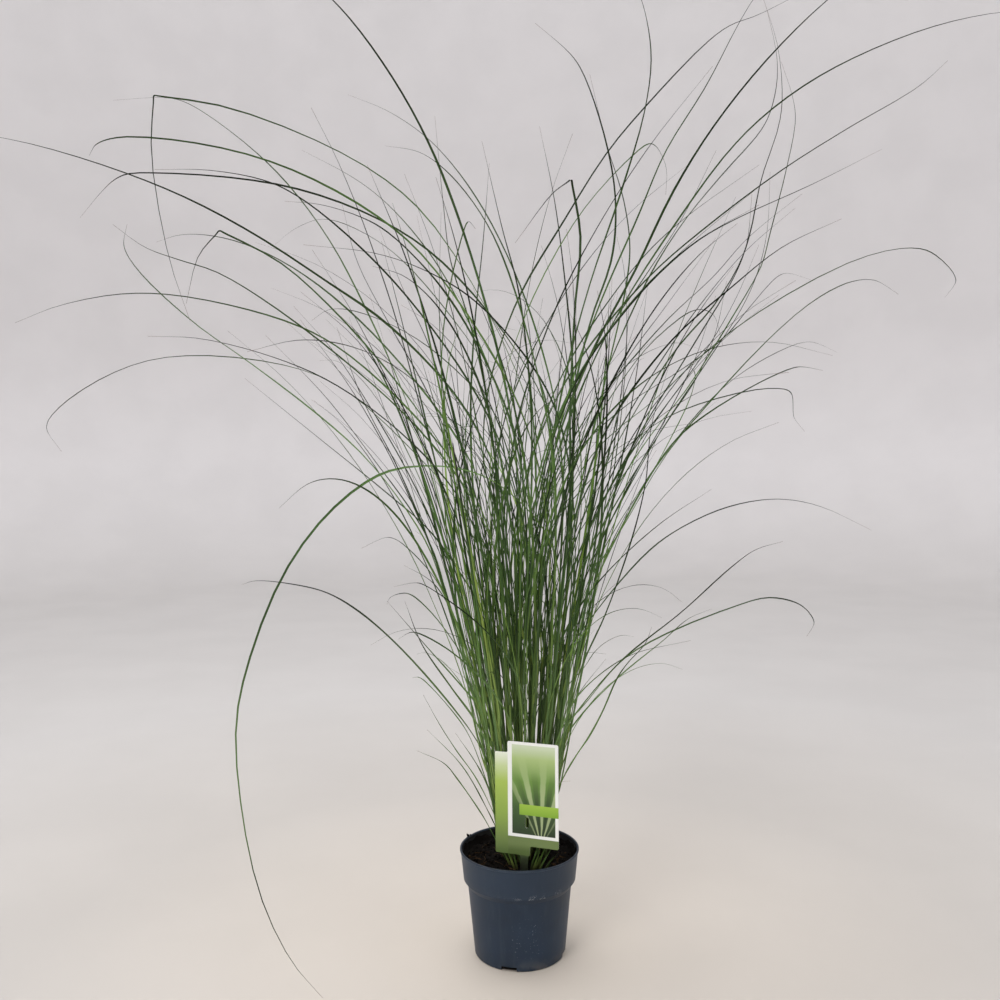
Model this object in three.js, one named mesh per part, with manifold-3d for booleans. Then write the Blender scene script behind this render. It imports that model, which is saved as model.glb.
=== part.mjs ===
// A clump of fine-leaved maiden grass in a round nursery pot, with its plant label.
// Millimetres, +Z up, origin at the centre of the pot's underside, front towards -Y.
import * as THREE from "three";
import { mergeVertices } from "three/addons/utils/BufferGeometryUtils.js";
import Module from "manifold-3d";

const wasm = await Module();
wasm.setup();

const fitGap = 0.3; // clearance between two pieces that touch
const degrees = Math.PI / 180;
const goldenTurn = Math.PI * (3 - Math.sqrt(5));

const pot = {
  sides: 40,
  height: 150,
  wall: 1.6,
  floor: 2.2,
  rimRadius: 85,
  lip: 0.8, // how far the rim's bead stands out of the band
  lipHeight: 3,
  bandFootHeight: 107.5,
  bandFootRadius: 79.9,
  shoulderHeight: 99.5,
  shoulderRadius: 74,
  baseRadius: 64.6,
  baseBevel: 1.5,
  notchCount: 4,
  notchWidth: 22,
  notchHeight: 6.5,
  notchDepth: 12, // from the base's edge inwards
  notchTurn: -15, // degrees from the front to the first notch
};

const soil = {
  sides: 20,
  edgeHeight: 135.5,
  mound: 2.5, // rise at the middle of the clump
  moundReach: 45,
  lump: 0.75,
  rings: 4,
  holeDepth: 28,
  holeSlack: 1.3, // the holes' clearance, in fit gaps
};

const label = {
  width: 91,
  height: 153,
  thick: 1.1,
  columnWidth: 18.5, // lower column at the left of the card
  columnHeight: 137,
  tabWidth: 50, // tab that hangs below the card
  tabDrop: 9,
  tabSink: 4.5, // how far the tab reaches below the foot
  corner: 2.5,
  slotAcross: 46,
  slotWidth: 4,
  slotLow: 34,
  slotHigh: 49,
  stakeAcross: 41.5,
  stakeWidth: 11,
  stakeLength: 72,
  stakeTip: 9,
  foot: 164, // the height above the ground that the card is measured from
  centre: [9.4, -56],
  turn: -19.5,
};

const crown = {
  shoots: 44,
  radius: 36,
  centre: [8, 6],
  edgeLean: 0.17, // outward slope of the outermost stems
  frontLeanShare: 0.25,
};

const stem = {
  sides: 6,
  footRadius: 2.8,
  topRadius: 1.5,
  middle: 0.4, // share of the height at which the taper changes
  middleTaper: 0.35,
  pastLastLeaf: 12,
};

const blade = {
  elbowRise: 24, // from the collar to where the blade stands free of its stem
  elbowReach: 5,
  leastAside: 12, // a leaf that strays less than this from its stem leaves it on a drawn side
  guidedSpan: 130, // a longer way to the first point of the course gets two guide points
  collarShare: 0.55, // width at the collar, as a share of the widest
  widestFrom: 0.28,
  taperPower: 1.8,
  leastHalfWidth: 0.7,
  leastKeel: 0.8,
  keelShare: 0.2,
  segmentLength: 160,
  segmentTurn: 18.5 * degrees,
  fewestSegments: 4,
  mostSegments: 16,
  finePoints: 8, // from one point of the course to the next, before the knots are chosen
  twistStart: 25 * degrees,
  twistGrowth: 50 * degrees,
};

const collars = { lowest: 168, share: 0.34, spacing: 24, tries: 20, belowCourse: 45 };
const leavesPerShoot = [3, 4]; // in turn

// Leaves that fill the clump: most stand up, and some arch to the front or the back.
const filling = {
  collars: [200, 400],
  highestCollar: 430,
  archingShare: 0.4,
  archingLengths: [620, 820],
  archingBends: [55, 115], // degrees
  standingLengths: [430, 700],
  standingBends: [8, 40],
  turns: [45, 135], // degrees from +X, to the back or the front
  straying: 14, // a shoot this near to the clump's middle line may turn either way
  widths: [3.6, 5.2],
  steps: 10,
  bendPower: 1.6,
  leanCarried: 1.6,
};

// A seen leaf goes to the shoot that costs least: near where its first stretch points, and free.
const matching = {
  steepest: 1.2,
  bendShare: 1 / 3,
  depthPerOffset: 9,
  crownShare: 0.9,
  distance: 9,
  crowding: 1.3,
};
const depthPower = 1.3; // how late along its course a leaf gains its depth

// How the leaves are bent clear of each other.
const settling = {
  rounds: 150,
  refresh: 15,
  reach: 16, // stretches further apart than this aren't compared
  clearance: 0.6,
  ease: 0.5,
  leastGrip: 0.15,
  longestMove: 6,
  leastHeight: 12,
  labelGap: 2,
  labelSide: 12,
  labelTop: 25,
};
const eye = new THREE.Vector3(-23.8, -1381, 707.5); // where the leaf courses are seen from

// Leaves whose course shows. Each has its depth at the tip in cm, away from the viewer positive,
// its greatest width in mm, and its course in cm across and up, as seen from the eye on the
// upright plane through the pot's axis.
const seenLeaves = [
  // arching to the upper left
  [-6, 5.5, [-3.5, 89.5], [-6.5, 99.5], [-10, 110], [-16, 122], [-25, 134], [-36, 142.5]],
  [8, 5, [-2.5, 88.5], [-8, 98], [-13.5, 105.5], [-22, 112], [-35.5, 118], [-46, 121],
    [-50, 121.5], [-50.5, 115.5], [-49.5, 106], [-47.5, 95.5], [-45.5, 90]],
  [14, 3.2, [-20, 89.5], [-25.5, 100.5], [-33, 110.5], [-40, 116.5], [-46.5, 120.5], [-55.5, 120.5]],
  [-12, 4, [-6, 89.5], [-15, 101], [-27, 109], [-39, 113.5], [-54, 115.5], [-58, 114.5], [-59, 113]],
  [2, 4, [-17.5, 89], [-28, 96.5], [-38, 103], [-50, 109], [-66.5, 114.5], [-76, 116.5]],
  [18, 3.6, [-3.5, 90.5], [-14, 101], [-29.5, 108], [-49, 110.5], [-55, 110], [-60.5, 104.5]],
  [-16, 3.6, [-11.5, 88.5], [-20.5, 99], [-32.5, 108.5], [-44, 111], [-50, 111]],
  [10, 3, [-13, 80], [-24, 92], [-33, 98.5], [-40.5, 101.5], [-46.5, 102], [-50, 101]],
  [-6, 3.2, [-15, 79], [-27, 93], [-35.5, 100], [-41, 103], [-43.5, 100.5], [-46, 92.5]],
  [-20, 3.2, [-14, 75], [-26, 86], [-41, 96.5], [-51, 100], [-56, 103.5]],
  [6, 3.6, [-10, 50.5], [-12.5, 58], [-21, 70.5], [-35, 82.5], [-44, 89], [-52.5, 97],
    [-54.5, 100.5], [-54, 103.5]],
  [-10, 3.6, [-12, 74], [-26, 87], [-39, 92], [-53, 94], [-65, 92], [-70, 90]],
  [16, 3.6, [-13, 70], [-26, 81.5], [-40, 85], [-52, 84.5], [-62.5, 79.5], [-66, 75.5], [-64, 72]],
  [-24, 3.2, [-16, 74], [-28, 82.5], [-43.5, 87.5], [-51.5, 88]],
  [26, 4, [2.5, 89.5], [-1, 98.5], [-5.5, 107], [-11.5, 114.5], [-18, 119], [-23, 121]],
  [-30, 3.6, [1, 90], [-3, 101.5], [-8.5, 109.5], [-13, 113], [-18, 114]],
  [22, 3.6, [-7.5, 91.5], [-12.5, 100], [-20, 108], [-29.5, 113.5]],
  [-18, 3.2, [-8, 91], [-12, 96.5], [-19, 103], [-27, 106], [-32, 106.5]],
  [20, 3.2, [-11.5, 93.5], [-18.5, 100.5], [-26.5, 104], [-31, 102.5], [-33.5, 100.5]],
  [-26, 3.6, [-4.5, 91.5], [-11, 96], [-18.5, 99], [-29.5, 100.5]],
  [-14, 2.8, [-12, 86], [-21.5, 91], [-26, 91.5], [-28.5, 90]],
  [24, 3.6, [-6, 88], [-9, 98], [-10, 106.5], [-11, 118]],
  [-22, 3.6, [1, 90], [-0.5, 98.5], [-2.5, 105], [-4.5, 114.5]],
  [28, 3.2, [-6, 86], [-5, 96], [-4, 105], [-3.5, 111.5]],
  [-30, 3.2, [-10, 90], [-8, 99], [-6.5, 103.5], [-5.5, 102.5]],
  [-10, 3.2, [-9, 47], [-11, 55], [-13.5, 61], [-17, 66], [-24, 76], [-30, 83], [-35, 88]],
  [18, 3, [-8, 50], [-11, 59], [-15, 68], [-20, 77], [-25, 85], [-31, 92]],
  [-20, 3, [-8, 44], [-10.5, 53], [-14, 63], [-18, 72], [-22, 80], [-25, 89]],
  [8, 3.2, [-6, 62], [-9, 72], [-13, 81], [-18, 90], [-22, 98], [-24, 106]],
  [-14, 3, [-7, 58], [-11, 68], [-16, 78], [-22, 87], [-30, 94]],
  [22, 3, [-6, 66], [-9, 76], [-12, 86], [-16, 95], [-19, 103]],
  // middle left, down to the long leaf that droops beside the pot
  [12, 4, [-4.5, 27.5], [-7, 32], [-12.5, 39], [-20, 47], [-26.5, 51.5], [-32, 53], [-37, 53.5],
    [-39, 53]],
  [-28, 5.2, [-2, 66.5], [-7.5, 69], [-12.5, 69.5], [-17.5, 69], [-22.5, 66.5], [-28, 61.5],
    [-33, 54.5], [-37, 45.5], [-40, 35], [-40, 25], [-39, 16], [-36.5, 6], [-32, -3], [-28.5, -7]],
  [20, 3.2, [-8.5, 55], [-12, 60], [-18, 65.5], [-29.5, 75], [-38, 82]],
  [-12, 2.6, [-9, 47], [-11, 52.5], [-14.5, 57], [-18, 59.5], [-22, 58]],
  [8, 2.6, [-8.5, 47], [-11.5, 52.5], [-14, 54.5], [-16, 55.5]],
  [-20, 3, [-6, 47.5], [-10.5, 51], [-14, 53], [-17.5, 52.5]],
  [14, 2.6, [-5, 37], [-8.5, 43.5], [-12, 48.5], [-15.5, 51.5], [-18, 51], [-18.5, 50]],
  [-8, 3, [-6, 33], [-9.5, 38], [-13.5, 44], [-16, 50.5]],
  [10, 2.6, [-7, 37], [-11, 41.5], [-15, 46.5], [-18.5, 50.5]],
  [-16, 3, [-5, 39], [-8, 42], [-11.5, 44.5], [-15, 46], [-17, 45]],
  [4, 2.2, [-7, 31], [-10.5, 36], [-14, 39.5], [-15, 39.5]],
  [-10, 2.2, [-4, 22], [-6.5, 25.5], [-10.5, 31.5], [-13.5, 37]],
  [10, 2.6, [-4, 21], [-7.5, 26], [-11.5, 30.5], [-13, 32]],
  [-14, 2.6, [-4.5, 20], [-8.5, 24.5], [-10.5, 27], [-14.5, 29]],
  [-4, 4, [-3.5, 20], [-5, 25], [-6, 27], [-7.5, 29], [-9, 31.5]],
  // upper middle and right
  [-10, 4, [10, 88], [13.5, 98.5], [14, 106.5], [13, 113], [11, 120], [8.5, 125.5], [3, 130.5]],
  [20, 3.6, [14, 88], [16, 98.5], [15, 107], [12.5, 115], [10.5, 123.5]],
  [-20, 4, [9, 90], [12.5, 101], [15, 108], [18, 118], [19, 126], [17.5, 134], [15, 138]],
  [10, 4, [0, 92], [3.5, 98], [13, 113], [21, 122], [29, 129.5], [34, 131.5], [43, 136]],
  [2, 3.6, [11, 90], [16.5, 102.5], [20.5, 112], [27, 122.5], [33, 133.5], [37, 139]],
  [-26, 3.6, [5, 90], [9.5, 99], [14.5, 107.5], [20.5, 116], [27.5, 124.5]],
  [-8, 3.2, [2, 92], [5.5, 98.5], [9.5, 105], [15, 111], [19, 114], [21, 111], [21, 107]],
  [-14, 5.5, [12, 88], [17.5, 98], [23.5, 110], [32.5, 122.5], [43.5, 133.5], [52, 139.5]],
  [6, 4, [14, 90], [19, 98], [29, 112], [35, 118], [44, 124], [57.5, 129.5], [67, 131.5], [74, 132]],
  [22, 2.6, [15, 88], [20, 98], [26, 106.5], [31, 112], [35, 117], [36.5, 124], [35, 132]],
  [-16, 2.8, [15, 74], [22, 85], [28, 92], [32, 99], [34, 108], [37, 118], [36.5, 127],
    [34.5, 133.5]],
  [14, 2.6, [17, 71], [24, 80], [30, 89.5], [34.5, 97.5], [36, 104], [39, 117.5], [37, 125]],
  [-4, 3.6, [19, 96], [26, 102], [40.5, 112.5], [56, 121.5], [60, 125]],
  [18, 3.2, [18, 94], [26, 101], [35, 105.5], [43, 109], [51, 113]],
  [-20, 3.2, [22, 87], [30, 94], [37, 99.5], [45.5, 103.5]],
  [4, 5, [5, 60], [8, 67], [12.5, 73], [20.5, 79.5], [27.5, 86], [34.5, 91], [44.5, 96.5],
    [51.5, 99], [57.5, 99], [61.5, 95], [60, 92.5]],
  [-12, 4, [10.5, 53.5], [14.5, 60], [21.5, 71.5], [27, 78], [34.5, 86], [40, 91], [46, 94.5],
    [50, 95], [53.5, 93]],
  [24, 2.6, [15, 77.5], [20.5, 81], [29, 87], [34.5, 93.5], [37.5, 96], [41.5, 95]],
  [-12, 3.2, [15, 95], [21.5, 102], [29, 107.5], [34, 111]],
  [-18, 3.6, [8, 88], [9, 98], [9, 104], [8, 109.5], [5, 107], [0, 100.5]],
  [26, 3.2, [7.5, 90], [6.5, 98.5], [5.5, 106.5], [3.5, 116.5]],
  [8, 3.6, [16, 92], [22.5, 98.5], [29, 104], [34, 108]],
  [-24, 3.2, [19, 95], [26, 101], [34, 105.5]],
  [28, 3.6, [6, 92], [10.5, 98.5], [16.5, 105], [24, 111]],
  [-8, 3, [10, 76.5], [14, 81.5], [21.5, 90], [27.5, 95.5], [32.5, 101], [40, 107]],
  [16, 3.2, [8, 62], [12, 70], [16, 77], [21, 85], [26, 92], [32, 99], [39, 105]],
  [-14, 3, [9, 58], [13, 66], [18, 75], [23.5, 84], [28.5, 92], [32, 99], [33, 107]],
  [10, 3, [10, 55], [14, 63], [19, 72], [24, 80], [29, 87], [33, 94], [35, 101], [35.5, 110]],
  [-22, 3.2, [7, 66], [11, 76], [15, 84], [20, 92], [26, 99], [31, 103]],
  [20, 2.8, [11, 62], [16, 71], [22, 79], [27, 86], [31, 93], [34, 100]],
  [6, 3.4, [6, 72], [10, 82], [14, 90], [19, 97], [24, 105], [28, 113]],
  [-18, 3, [8, 70], [12.5, 79], [17, 86.5], [23, 94], [28, 101]],
  [12, 3, [9, 52], [12.5, 60], [16.5, 68], [21, 76], [25, 84], [28, 93]],
  [-10, 2.8, [10, 57], [15, 66], [20.5, 74.5], [25, 81], [28, 88], [29.5, 95]],
  // middle right
  [14, 3.2, [13, 59], [18.5, 67.5], [24.5, 75.5], [30, 81], [35.5, 84.5], [41, 86.5], [45, 85]],
  [-18, 3.2, [15, 61], [22, 72.5], [29, 78], [35.5, 81.5], [39.5, 83], [43, 82.5]],
  [8, 3.6, [10, 67], [15.5, 72], [20, 75.5], [27.5, 78.5], [35, 80], [38.5, 79.5], [39, 76],
    [40.5, 74]],
  [-8, 3.2, [11.5, 53], [15.5, 57], [20, 61], [25, 64.5], [27.5, 66]],
  [2, 4.6, [5, 40], [10, 47], [14.5, 53], [20, 58.5], [25, 61.5], [30, 63.5], [36.5, 64.5],
    [42.5, 63.5], [50, 60]],
  [-22, 3.2, [6.5, 31.5], [10, 36.5], [14, 41], [18, 44.5], [25, 50], [33, 57], [37.5, 58.5]],
  [-6, 4.6, [5.5, 31], [10, 36], [14.5, 41.5], [20, 45], [27.5, 48], [35, 50.5], [40, 49.5],
    [42, 47], [41, 45]],
  [16, 3.2, [5, 28], [9, 34], [15, 40], [20, 44], [24, 47.5], [27.5, 49]],
  [-14, 2.2, [8, 36], [12, 40], [16, 42.5], [24.5, 44.5]],
  [6, 2.6, [7, 34], [10, 39], [12.5, 42]],
  [-16, 3.6, [7, 27], [10, 30], [12.5, 35], [14.5, 40], [18, 44], [19, 46.5]],
  [-20, 3.2, [9.5, 42], [12.5, 48.5], [16.5, 60], [18, 66], [19, 75], [21.5, 83.5]],
  [18, 2.8, [12, 55], [16, 63], [20, 70], [24.5, 79], [25, 82.5], [23.5, 83.5]],
  [-14, 2.8, [10, 74], [14, 80], [18, 85.5], [25, 91], [27.5, 90.5], [29, 86]],
  [24, 2.4, [10, 76], [14, 82], [18, 85], [22.5, 86.5], [26, 85.5]],
];

// A repeatable number from 0 to 1 for each seed.
function draw(seed) {
  const wave = Math.sin(seed * 12.9898 + 4.1414) * 43758.5453;
  return wave - Math.floor(wave);
}

const between = (low, high, share) => low + (high - low) * share;
const limit = (value, low, high) => Math.min(high, Math.max(low, value));

function solidOf(geometry) {
  const bare = geometry.index ? geometry.toNonIndexed() : geometry.clone();
  bare.deleteAttribute("normal");
  bare.deleteAttribute("uv");
  const merged = mergeVertices(bare, 1e-4);
  const corners = merged.index.array;
  const triangles = [];
  for (let i = 0; i < corners.length; i += 3) {
    const [a, b, c] = [corners[i], corners[i + 1], corners[i + 2]];
    if (a !== b && b !== c && c !== a) triangles.push(a, b, c);
  }
  const mesh = new wasm.Mesh({
    numProp: 3,
    vertProperties: merged.attributes.position.array,
    triVerts: new Uint32Array(triangles),
  });
  return new wasm.Manifold(mesh);
}

function geometryOf(solid) {
  const mesh = solid.getMesh();
  const geometry = new THREE.BufferGeometry();
  const points = Float32Array.from(mesh.vertProperties);
  geometry.setAttribute("position", new THREE.BufferAttribute(points, 3));
  geometry.setIndex(new THREE.BufferAttribute(Uint32Array.from(mesh.triVerts), 1));
  geometry.computeVertexNormals();
  return geometry;
}

// A closed skin over rings of points. A ring of one point closes that end to a tip.
function loft(rings) {
  const triangles = [];
  const flat = rings.flat();
  const starts = [];
  rings.reduce((start, ring) => {
    starts.push(start);
    return start + ring.length;
  }, 0);
  for (let i = 0; i + 1 < rings.length; i++) {
    const [low, high] = [rings[i], rings[i + 1]];
    for (let k = 0; k < low.length; k++) {
      const next = (k + 1) % low.length;
      const [a, b] = [starts[i] + k, starts[i] + next];
      if (high.length === 1) {
        triangles.push(a, b, starts[i + 1]);
        continue;
      }
      const [c, d] = [starts[i + 1] + next, starts[i + 1] + k];
      triangles.push(a, b, c, a, c, d);
    }
  }
  for (let k = 1; k + 1 < rings[0].length; k++) triangles.push(0, k + 1, k);
  const last = starts[rings.length - 1];
  for (let k = 1; k + 1 < rings.at(-1).length; k++) triangles.push(last, last + k, last + k + 1);
  const geometry = new THREE.BufferGeometry().setFromPoints(flat);
  geometry.setIndex(triangles);
  return geometry;
}

function lathe(outline, sides) {
  const points = outline.map(([radius, height]) => new THREE.Vector2(radius, height));
  return new THREE.LatheGeometry(points, sides).rotateX(Math.PI / 2);
}

// The pot's outer wall from base to rim, moved inwards by an inset.
function potWall(inset) {
  return [
    [pot.baseRadius - inset, 0],
    [pot.shoulderRadius - inset, pot.shoulderHeight],
    [pot.bandFootRadius - inset, pot.bandFootHeight],
    [pot.rimRadius - pot.lip - inset, pot.height],
  ];
}

function wallRadius(height, inset) {
  const wall = potWall(inset);
  const upper = wall.findIndex(([, level]) => level >= height);
  const [[r0, z0], [r1, z1]] = [wall[upper - 1], wall[upper]];
  return between(r0, r1, (height - z0) / (z1 - z0));
}

function makePot() {
  const [base, shoulder, bandFoot] = potWall(0);
  const lipFoot = pot.height - pot.lipHeight;
  const outside = [
    [0, 0],
    [pot.baseRadius - pot.baseBevel, 0],
    [wallRadius(pot.baseBevel, 0), pot.baseBevel],
    shoulder,
    bandFoot,
    [wallRadius(lipFoot, 0), lipFoot],
    [pot.rimRadius, lipFoot + pot.lip],
    [pot.rimRadius, pot.height - pot.lip / 2],
    [pot.rimRadius - pot.lip / 2, pot.height],
  ];
  const [, innerShoulder, innerBandFoot, innerRim] = potWall(pot.wall);
  const inside = [
    innerRim,
    innerBandFoot,
    innerShoulder,
    [wallRadius(pot.floor, pot.wall), pot.floor],
    [0, pot.floor],
  ];
  let shell = solidOf(lathe([...outside, ...inside], pot.sides));
  for (let i = 0; i < pot.notchCount; i++) {
    const turn = (pot.notchTurn + (i * 360) / pot.notchCount - 90) * degrees;
    const notch = new THREE.BoxGeometry(2 * pot.notchDepth, pot.notchWidth, 2 * pot.notchHeight);
    notch.translate(base[0], 0, 0).rotateZ(turn);
    shell = shell.subtract(solidOf(notch));
  }
  return geometryOf(shell);
}

// The soil's top: a low mound under the clump, with uneven lumps.
function soilHeight(x, y) {
  const fromClump = Math.hypot(x - crown.centre[0], y - crown.centre[1]);
  const rise = soil.mound * Math.exp(-((fromClump / soil.moundReach) ** 2));
  const lumps = Math.sin(x * 0.21 + 1.3) * Math.cos(y * 0.17) + 0.6 * Math.sin(x * 0.13 - y * 0.27);
  return soil.edgeHeight + rise + soil.lump * lumps;
}

function makeSoil(shoots) {
  const inset = pot.wall + fitGap;
  const foot = pot.floor + fitGap;
  const [, shoulder, bandFoot] = potWall(inset);
  const edgeRadius = wallRadius(soil.edgeHeight, inset);
  const outline = [[0, foot], [wallRadius(foot, inset), foot], shoulder, bandFoot];
  for (let i = soil.rings; i >= 0; i--) {
    outline.push([(edgeRadius * i) / soil.rings, soil.edgeHeight]);
  }
  const body = lathe(outline, soil.sides);
  const place = body.attributes.position;
  for (let i = 0; i < place.count; i++) {
    if (place.getZ(i) > soil.edgeHeight - 1) {
      place.setZ(i, soilHeight(place.getX(i), place.getY(i)));
    }
  }
  const holeRadius = stem.footRadius + fitGap * soil.holeSlack;
  const holes = shoots.map(({ foot: [x, y] }) => {
    const hole = new THREE.CylinderGeometry(holeRadius, holeRadius, 2 * soil.holeDepth, stem.sides);
    hole.rotateX(Math.PI / 2).rotateZ(Math.PI / 2);
    return solidOf(hole.translate(x, y, soil.edgeHeight));
  });
  const stakeLow = label.foot - label.stakeLength - fitGap;
  const slotHeight = pot.height - stakeLow;
  const slot = new THREE.BoxGeometry(label.stakeWidth + 2 * fitGap, label.thick + 2 * fitGap, slotHeight);
  slot.translate(label.stakeAcross - label.width / 2, 0, stakeLow + slotHeight / 2);
  placeLabel(slot);
  return geometryOf([...holes, solidOf(slot)].reduce((left, cut) => left.subtract(cut), solidOf(body)));
}

function placeLabel(geometry) {
  return geometry.rotateZ(label.turn * degrees).translate(label.centre[0], label.centre[1], 0);
}

// The card in its own plane: a low column at the left, the taller card, a tab below and the stake.
function makeLabel() {
  const corners = [
    [0, label.columnHeight],
    [0, -label.tabSink],
    [label.stakeAcross - label.stakeWidth / 2, -label.tabSink],
    [label.stakeAcross - label.stakeWidth / 2, label.stakeTip - label.stakeLength],
    [label.stakeAcross, -label.stakeLength],
    [label.stakeAcross + label.stakeWidth / 2, label.stakeTip - label.stakeLength],
    [label.stakeAcross + label.stakeWidth / 2, -label.tabSink],
    [label.tabWidth, -label.tabSink],
    [label.tabWidth, label.tabDrop],
    [label.width, label.tabDrop],
    [label.width, label.height],
    [label.columnWidth, label.height],
    [label.columnWidth, label.columnHeight],
  ];
  const card = new THREE.Shape();
  corners.forEach(([x, y], i) => {
    const [px, py] = corners.at(i - 1);
    const [nx, ny] = corners[(i + 1) % corners.length];
    const [before, after] = [Math.hypot(px - x, py - y), Math.hypot(nx - x, ny - y)];
    const round = Math.min(label.corner, before / 2.5, after / 2.5);
    const start = [between(x, px, round / before), between(y, py, round / before)];
    const end = [between(x, nx, round / after), between(y, ny, round / after)];
    if (i === 0) card.moveTo(...start);
    else card.lineTo(...start);
    card.quadraticCurveTo(x, y, ...end);
  });
  card.closePath();
  const slotRadius = label.slotWidth / 2;
  const slot = new THREE.Path();
  slot.absarc(label.slotAcross, label.slotHigh - slotRadius, slotRadius, 0, Math.PI, false);
  slot.absarc(label.slotAcross, label.slotLow + slotRadius, slotRadius, Math.PI, 2 * Math.PI, false);
  card.holes.push(slot);
  const options = { depth: label.thick, bevelEnabled: false, curveSegments: 3 };
  const geometry = new THREE.ExtrudeGeometry(card, options);
  geometry.translate(-label.width / 2, 0, -label.thick / 2).rotateX(Math.PI / 2);
  geometry.translate(0, 0, label.foot);
  return geometryOf(solidOf(placeLabel(geometry)));
}

// Shoots stand in a sunflower pattern in the crown and lean outwards.
function makeShoots() {
  const shoots = [];
  for (let i = 0; i < crown.shoots; i++) {
    const reach = crown.radius * Math.sqrt((i + 0.5) / crown.shoots);
    const offset = [reach * Math.cos(i * goldenTurn), reach * Math.sin(i * goldenTurn)];
    const lean = offset.map((value) => (value * crown.edgeLean) / crown.radius);
    if (lean[1] < 0) lean[1] *= crown.frontLeanShare;
    const foot = [crown.centre[0] + offset[0], crown.centre[1] + offset[1]];
    shoots.push({ offset, foot, lean, level: soilHeight(...foot), leaves: [] });
  }
  return shoots;
}

function stemPoint(shoot, height) {
  const rise = height - shoot.level;
  const x = shoot.foot[0] + shoot.lean[0] * rise;
  return new THREE.Vector3(x, shoot.foot[1] + shoot.lean[1] * rise, height);
}

// The nearest height to the wished one that keeps the collars of a shoot apart.
function freeCollar(shoot, wished, highest) {
  const taken = (height) => shoot.leaves.some((leaf) => Math.abs(leaf.collar - height) < collars.spacing);
  for (let step = 0; step < collars.tries; step++) {
    const shift = Math.ceil(step / 2) * collars.spacing * (step % 2 ? 1 : -1);
    const height = wished + shift;
    if (height >= collars.lowest && height <= highest && !taken(height)) return height;
  }
  return wished;
}

// Where the stem of a seen leaf stands in the crown, worked out from the leaf's first stretch.
function idealOffset(course, depth, collar) {
  const [[x1, z1], [x2, z2]] = course;
  const slope = limit((x2 - x1) / (z2 - z1), -matching.steepest, matching.steepest);
  const leanPerOffset = crown.edgeLean / crown.radius;
  const rise = z1 - collar;
  const x = x1 - crown.centre[0] - rise * slope * matching.bendShare;
  const leaning = collar - soil.edgeHeight + rise * (1 - matching.bendShare);
  const reach = crown.radius * matching.crownShare;
  const across = limit(x / (1 + leanPerOffset * leaning), -reach, reach);
  return [across, limit(depth / matching.depthPerOffset, -reach, reach)];
}

function pushAlongSight(x, z, depth) {
  const flat = new THREE.Vector3(x, 0, z);
  return flat.sub(eye).multiplyScalar(1 + depth / -eye.y).add(eye);
}

function growSeenLeaves(shoots) {
  for (const [depthCm, width, ...courseCm] of seenLeaves) {
    const course = courseCm.map(([x, z]) => [x * 10, z * 10]);
    const depth = depthCm * 10;
    const wished = collars.lowest + Math.max(0, course[0][1] - collars.lowest) * collars.share;
    const ideal = idealOffset(course, depth, wished);
    const cost = ({ offset, leaves }) =>
      Math.hypot(offset[0] - ideal[0], offset[1] - ideal[1]) / matching.distance +
      leaves.length * matching.crowding;
    const shoot = shoots.reduce((best, other) => (cost(other) < cost(best) ? other : best));
    const highest = Math.max(collars.lowest, course[0][1] - collars.belowCourse);
    const collar = freeCollar(shoot, wished, highest);
    const start = stemPoint(shoot, collar);
    const steps = course.map(([x, z], i) => {
      const [px, pz] = i ? course[i - 1] : [start.x, start.z];
      return Math.hypot(x - px, z - pz);
    });
    const whole = steps.reduce((sum, step) => sum + step, 0);
    let along = 0;
    const points = course.map(([x, z], i) => {
      along += steps[i];
      return pushAlongSight(x, z, between(start.y, depth, (along / whole) ** depthPower));
    });
    shoot.leaves.push({ collar, width, points });
  }
}

function growFillingLeaves(shoots) {
  shoots.forEach((shoot, number) => {
    while (shoot.leaves.length < leavesPerShoot[number % 2]) {
      const seed = number * 31 + shoot.leaves.length * 7;
      const wished = between(...filling.collars, draw(seed));
      const collar = freeCollar(shoot, wished, filling.highestCollar);
      const arching = draw(seed + 1) < filling.archingShare;
      const lengths = arching ? filling.archingLengths : filling.standingLengths;
      const bends = arching ? filling.archingBends : filling.standingBends;
      const stepLength = between(...lengths, draw(seed + 2)) / filling.steps;
      const bend = between(...bends, draw(seed + 3)) * degrees;
      const stray = between(-filling.straying, filling.straying, draw(seed + 4));
      const side = shoot.offset[1] + stray > 0 ? 1 : -1;
      const turn = side * between(...filling.turns, draw(seed + 5)) * degrees;
      const width = between(...filling.widths, draw(seed + 6));
      const here = stemPoint(shoot, collar + blade.elbowRise);
      const points = [];
      for (let i = 1; i <= filling.steps; i++) {
        const tilt = bend * (i / filling.steps) ** filling.bendPower;
        const kept = Math.cos(tilt) * filling.leanCarried;
        const x = Math.sin(tilt) * Math.cos(turn) + shoot.lean[0] * kept;
        const y = Math.sin(tilt) * Math.sin(turn) + shoot.lean[1] * kept;
        const step = new THREE.Vector3(x, y, Math.cos(tilt)).setLength(stepLength);
        here.add(step);
        if (i > 1) points.push(here.clone());
      }
      shoot.leaves.push({ collar, width, points });
    }
  });
}

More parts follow.
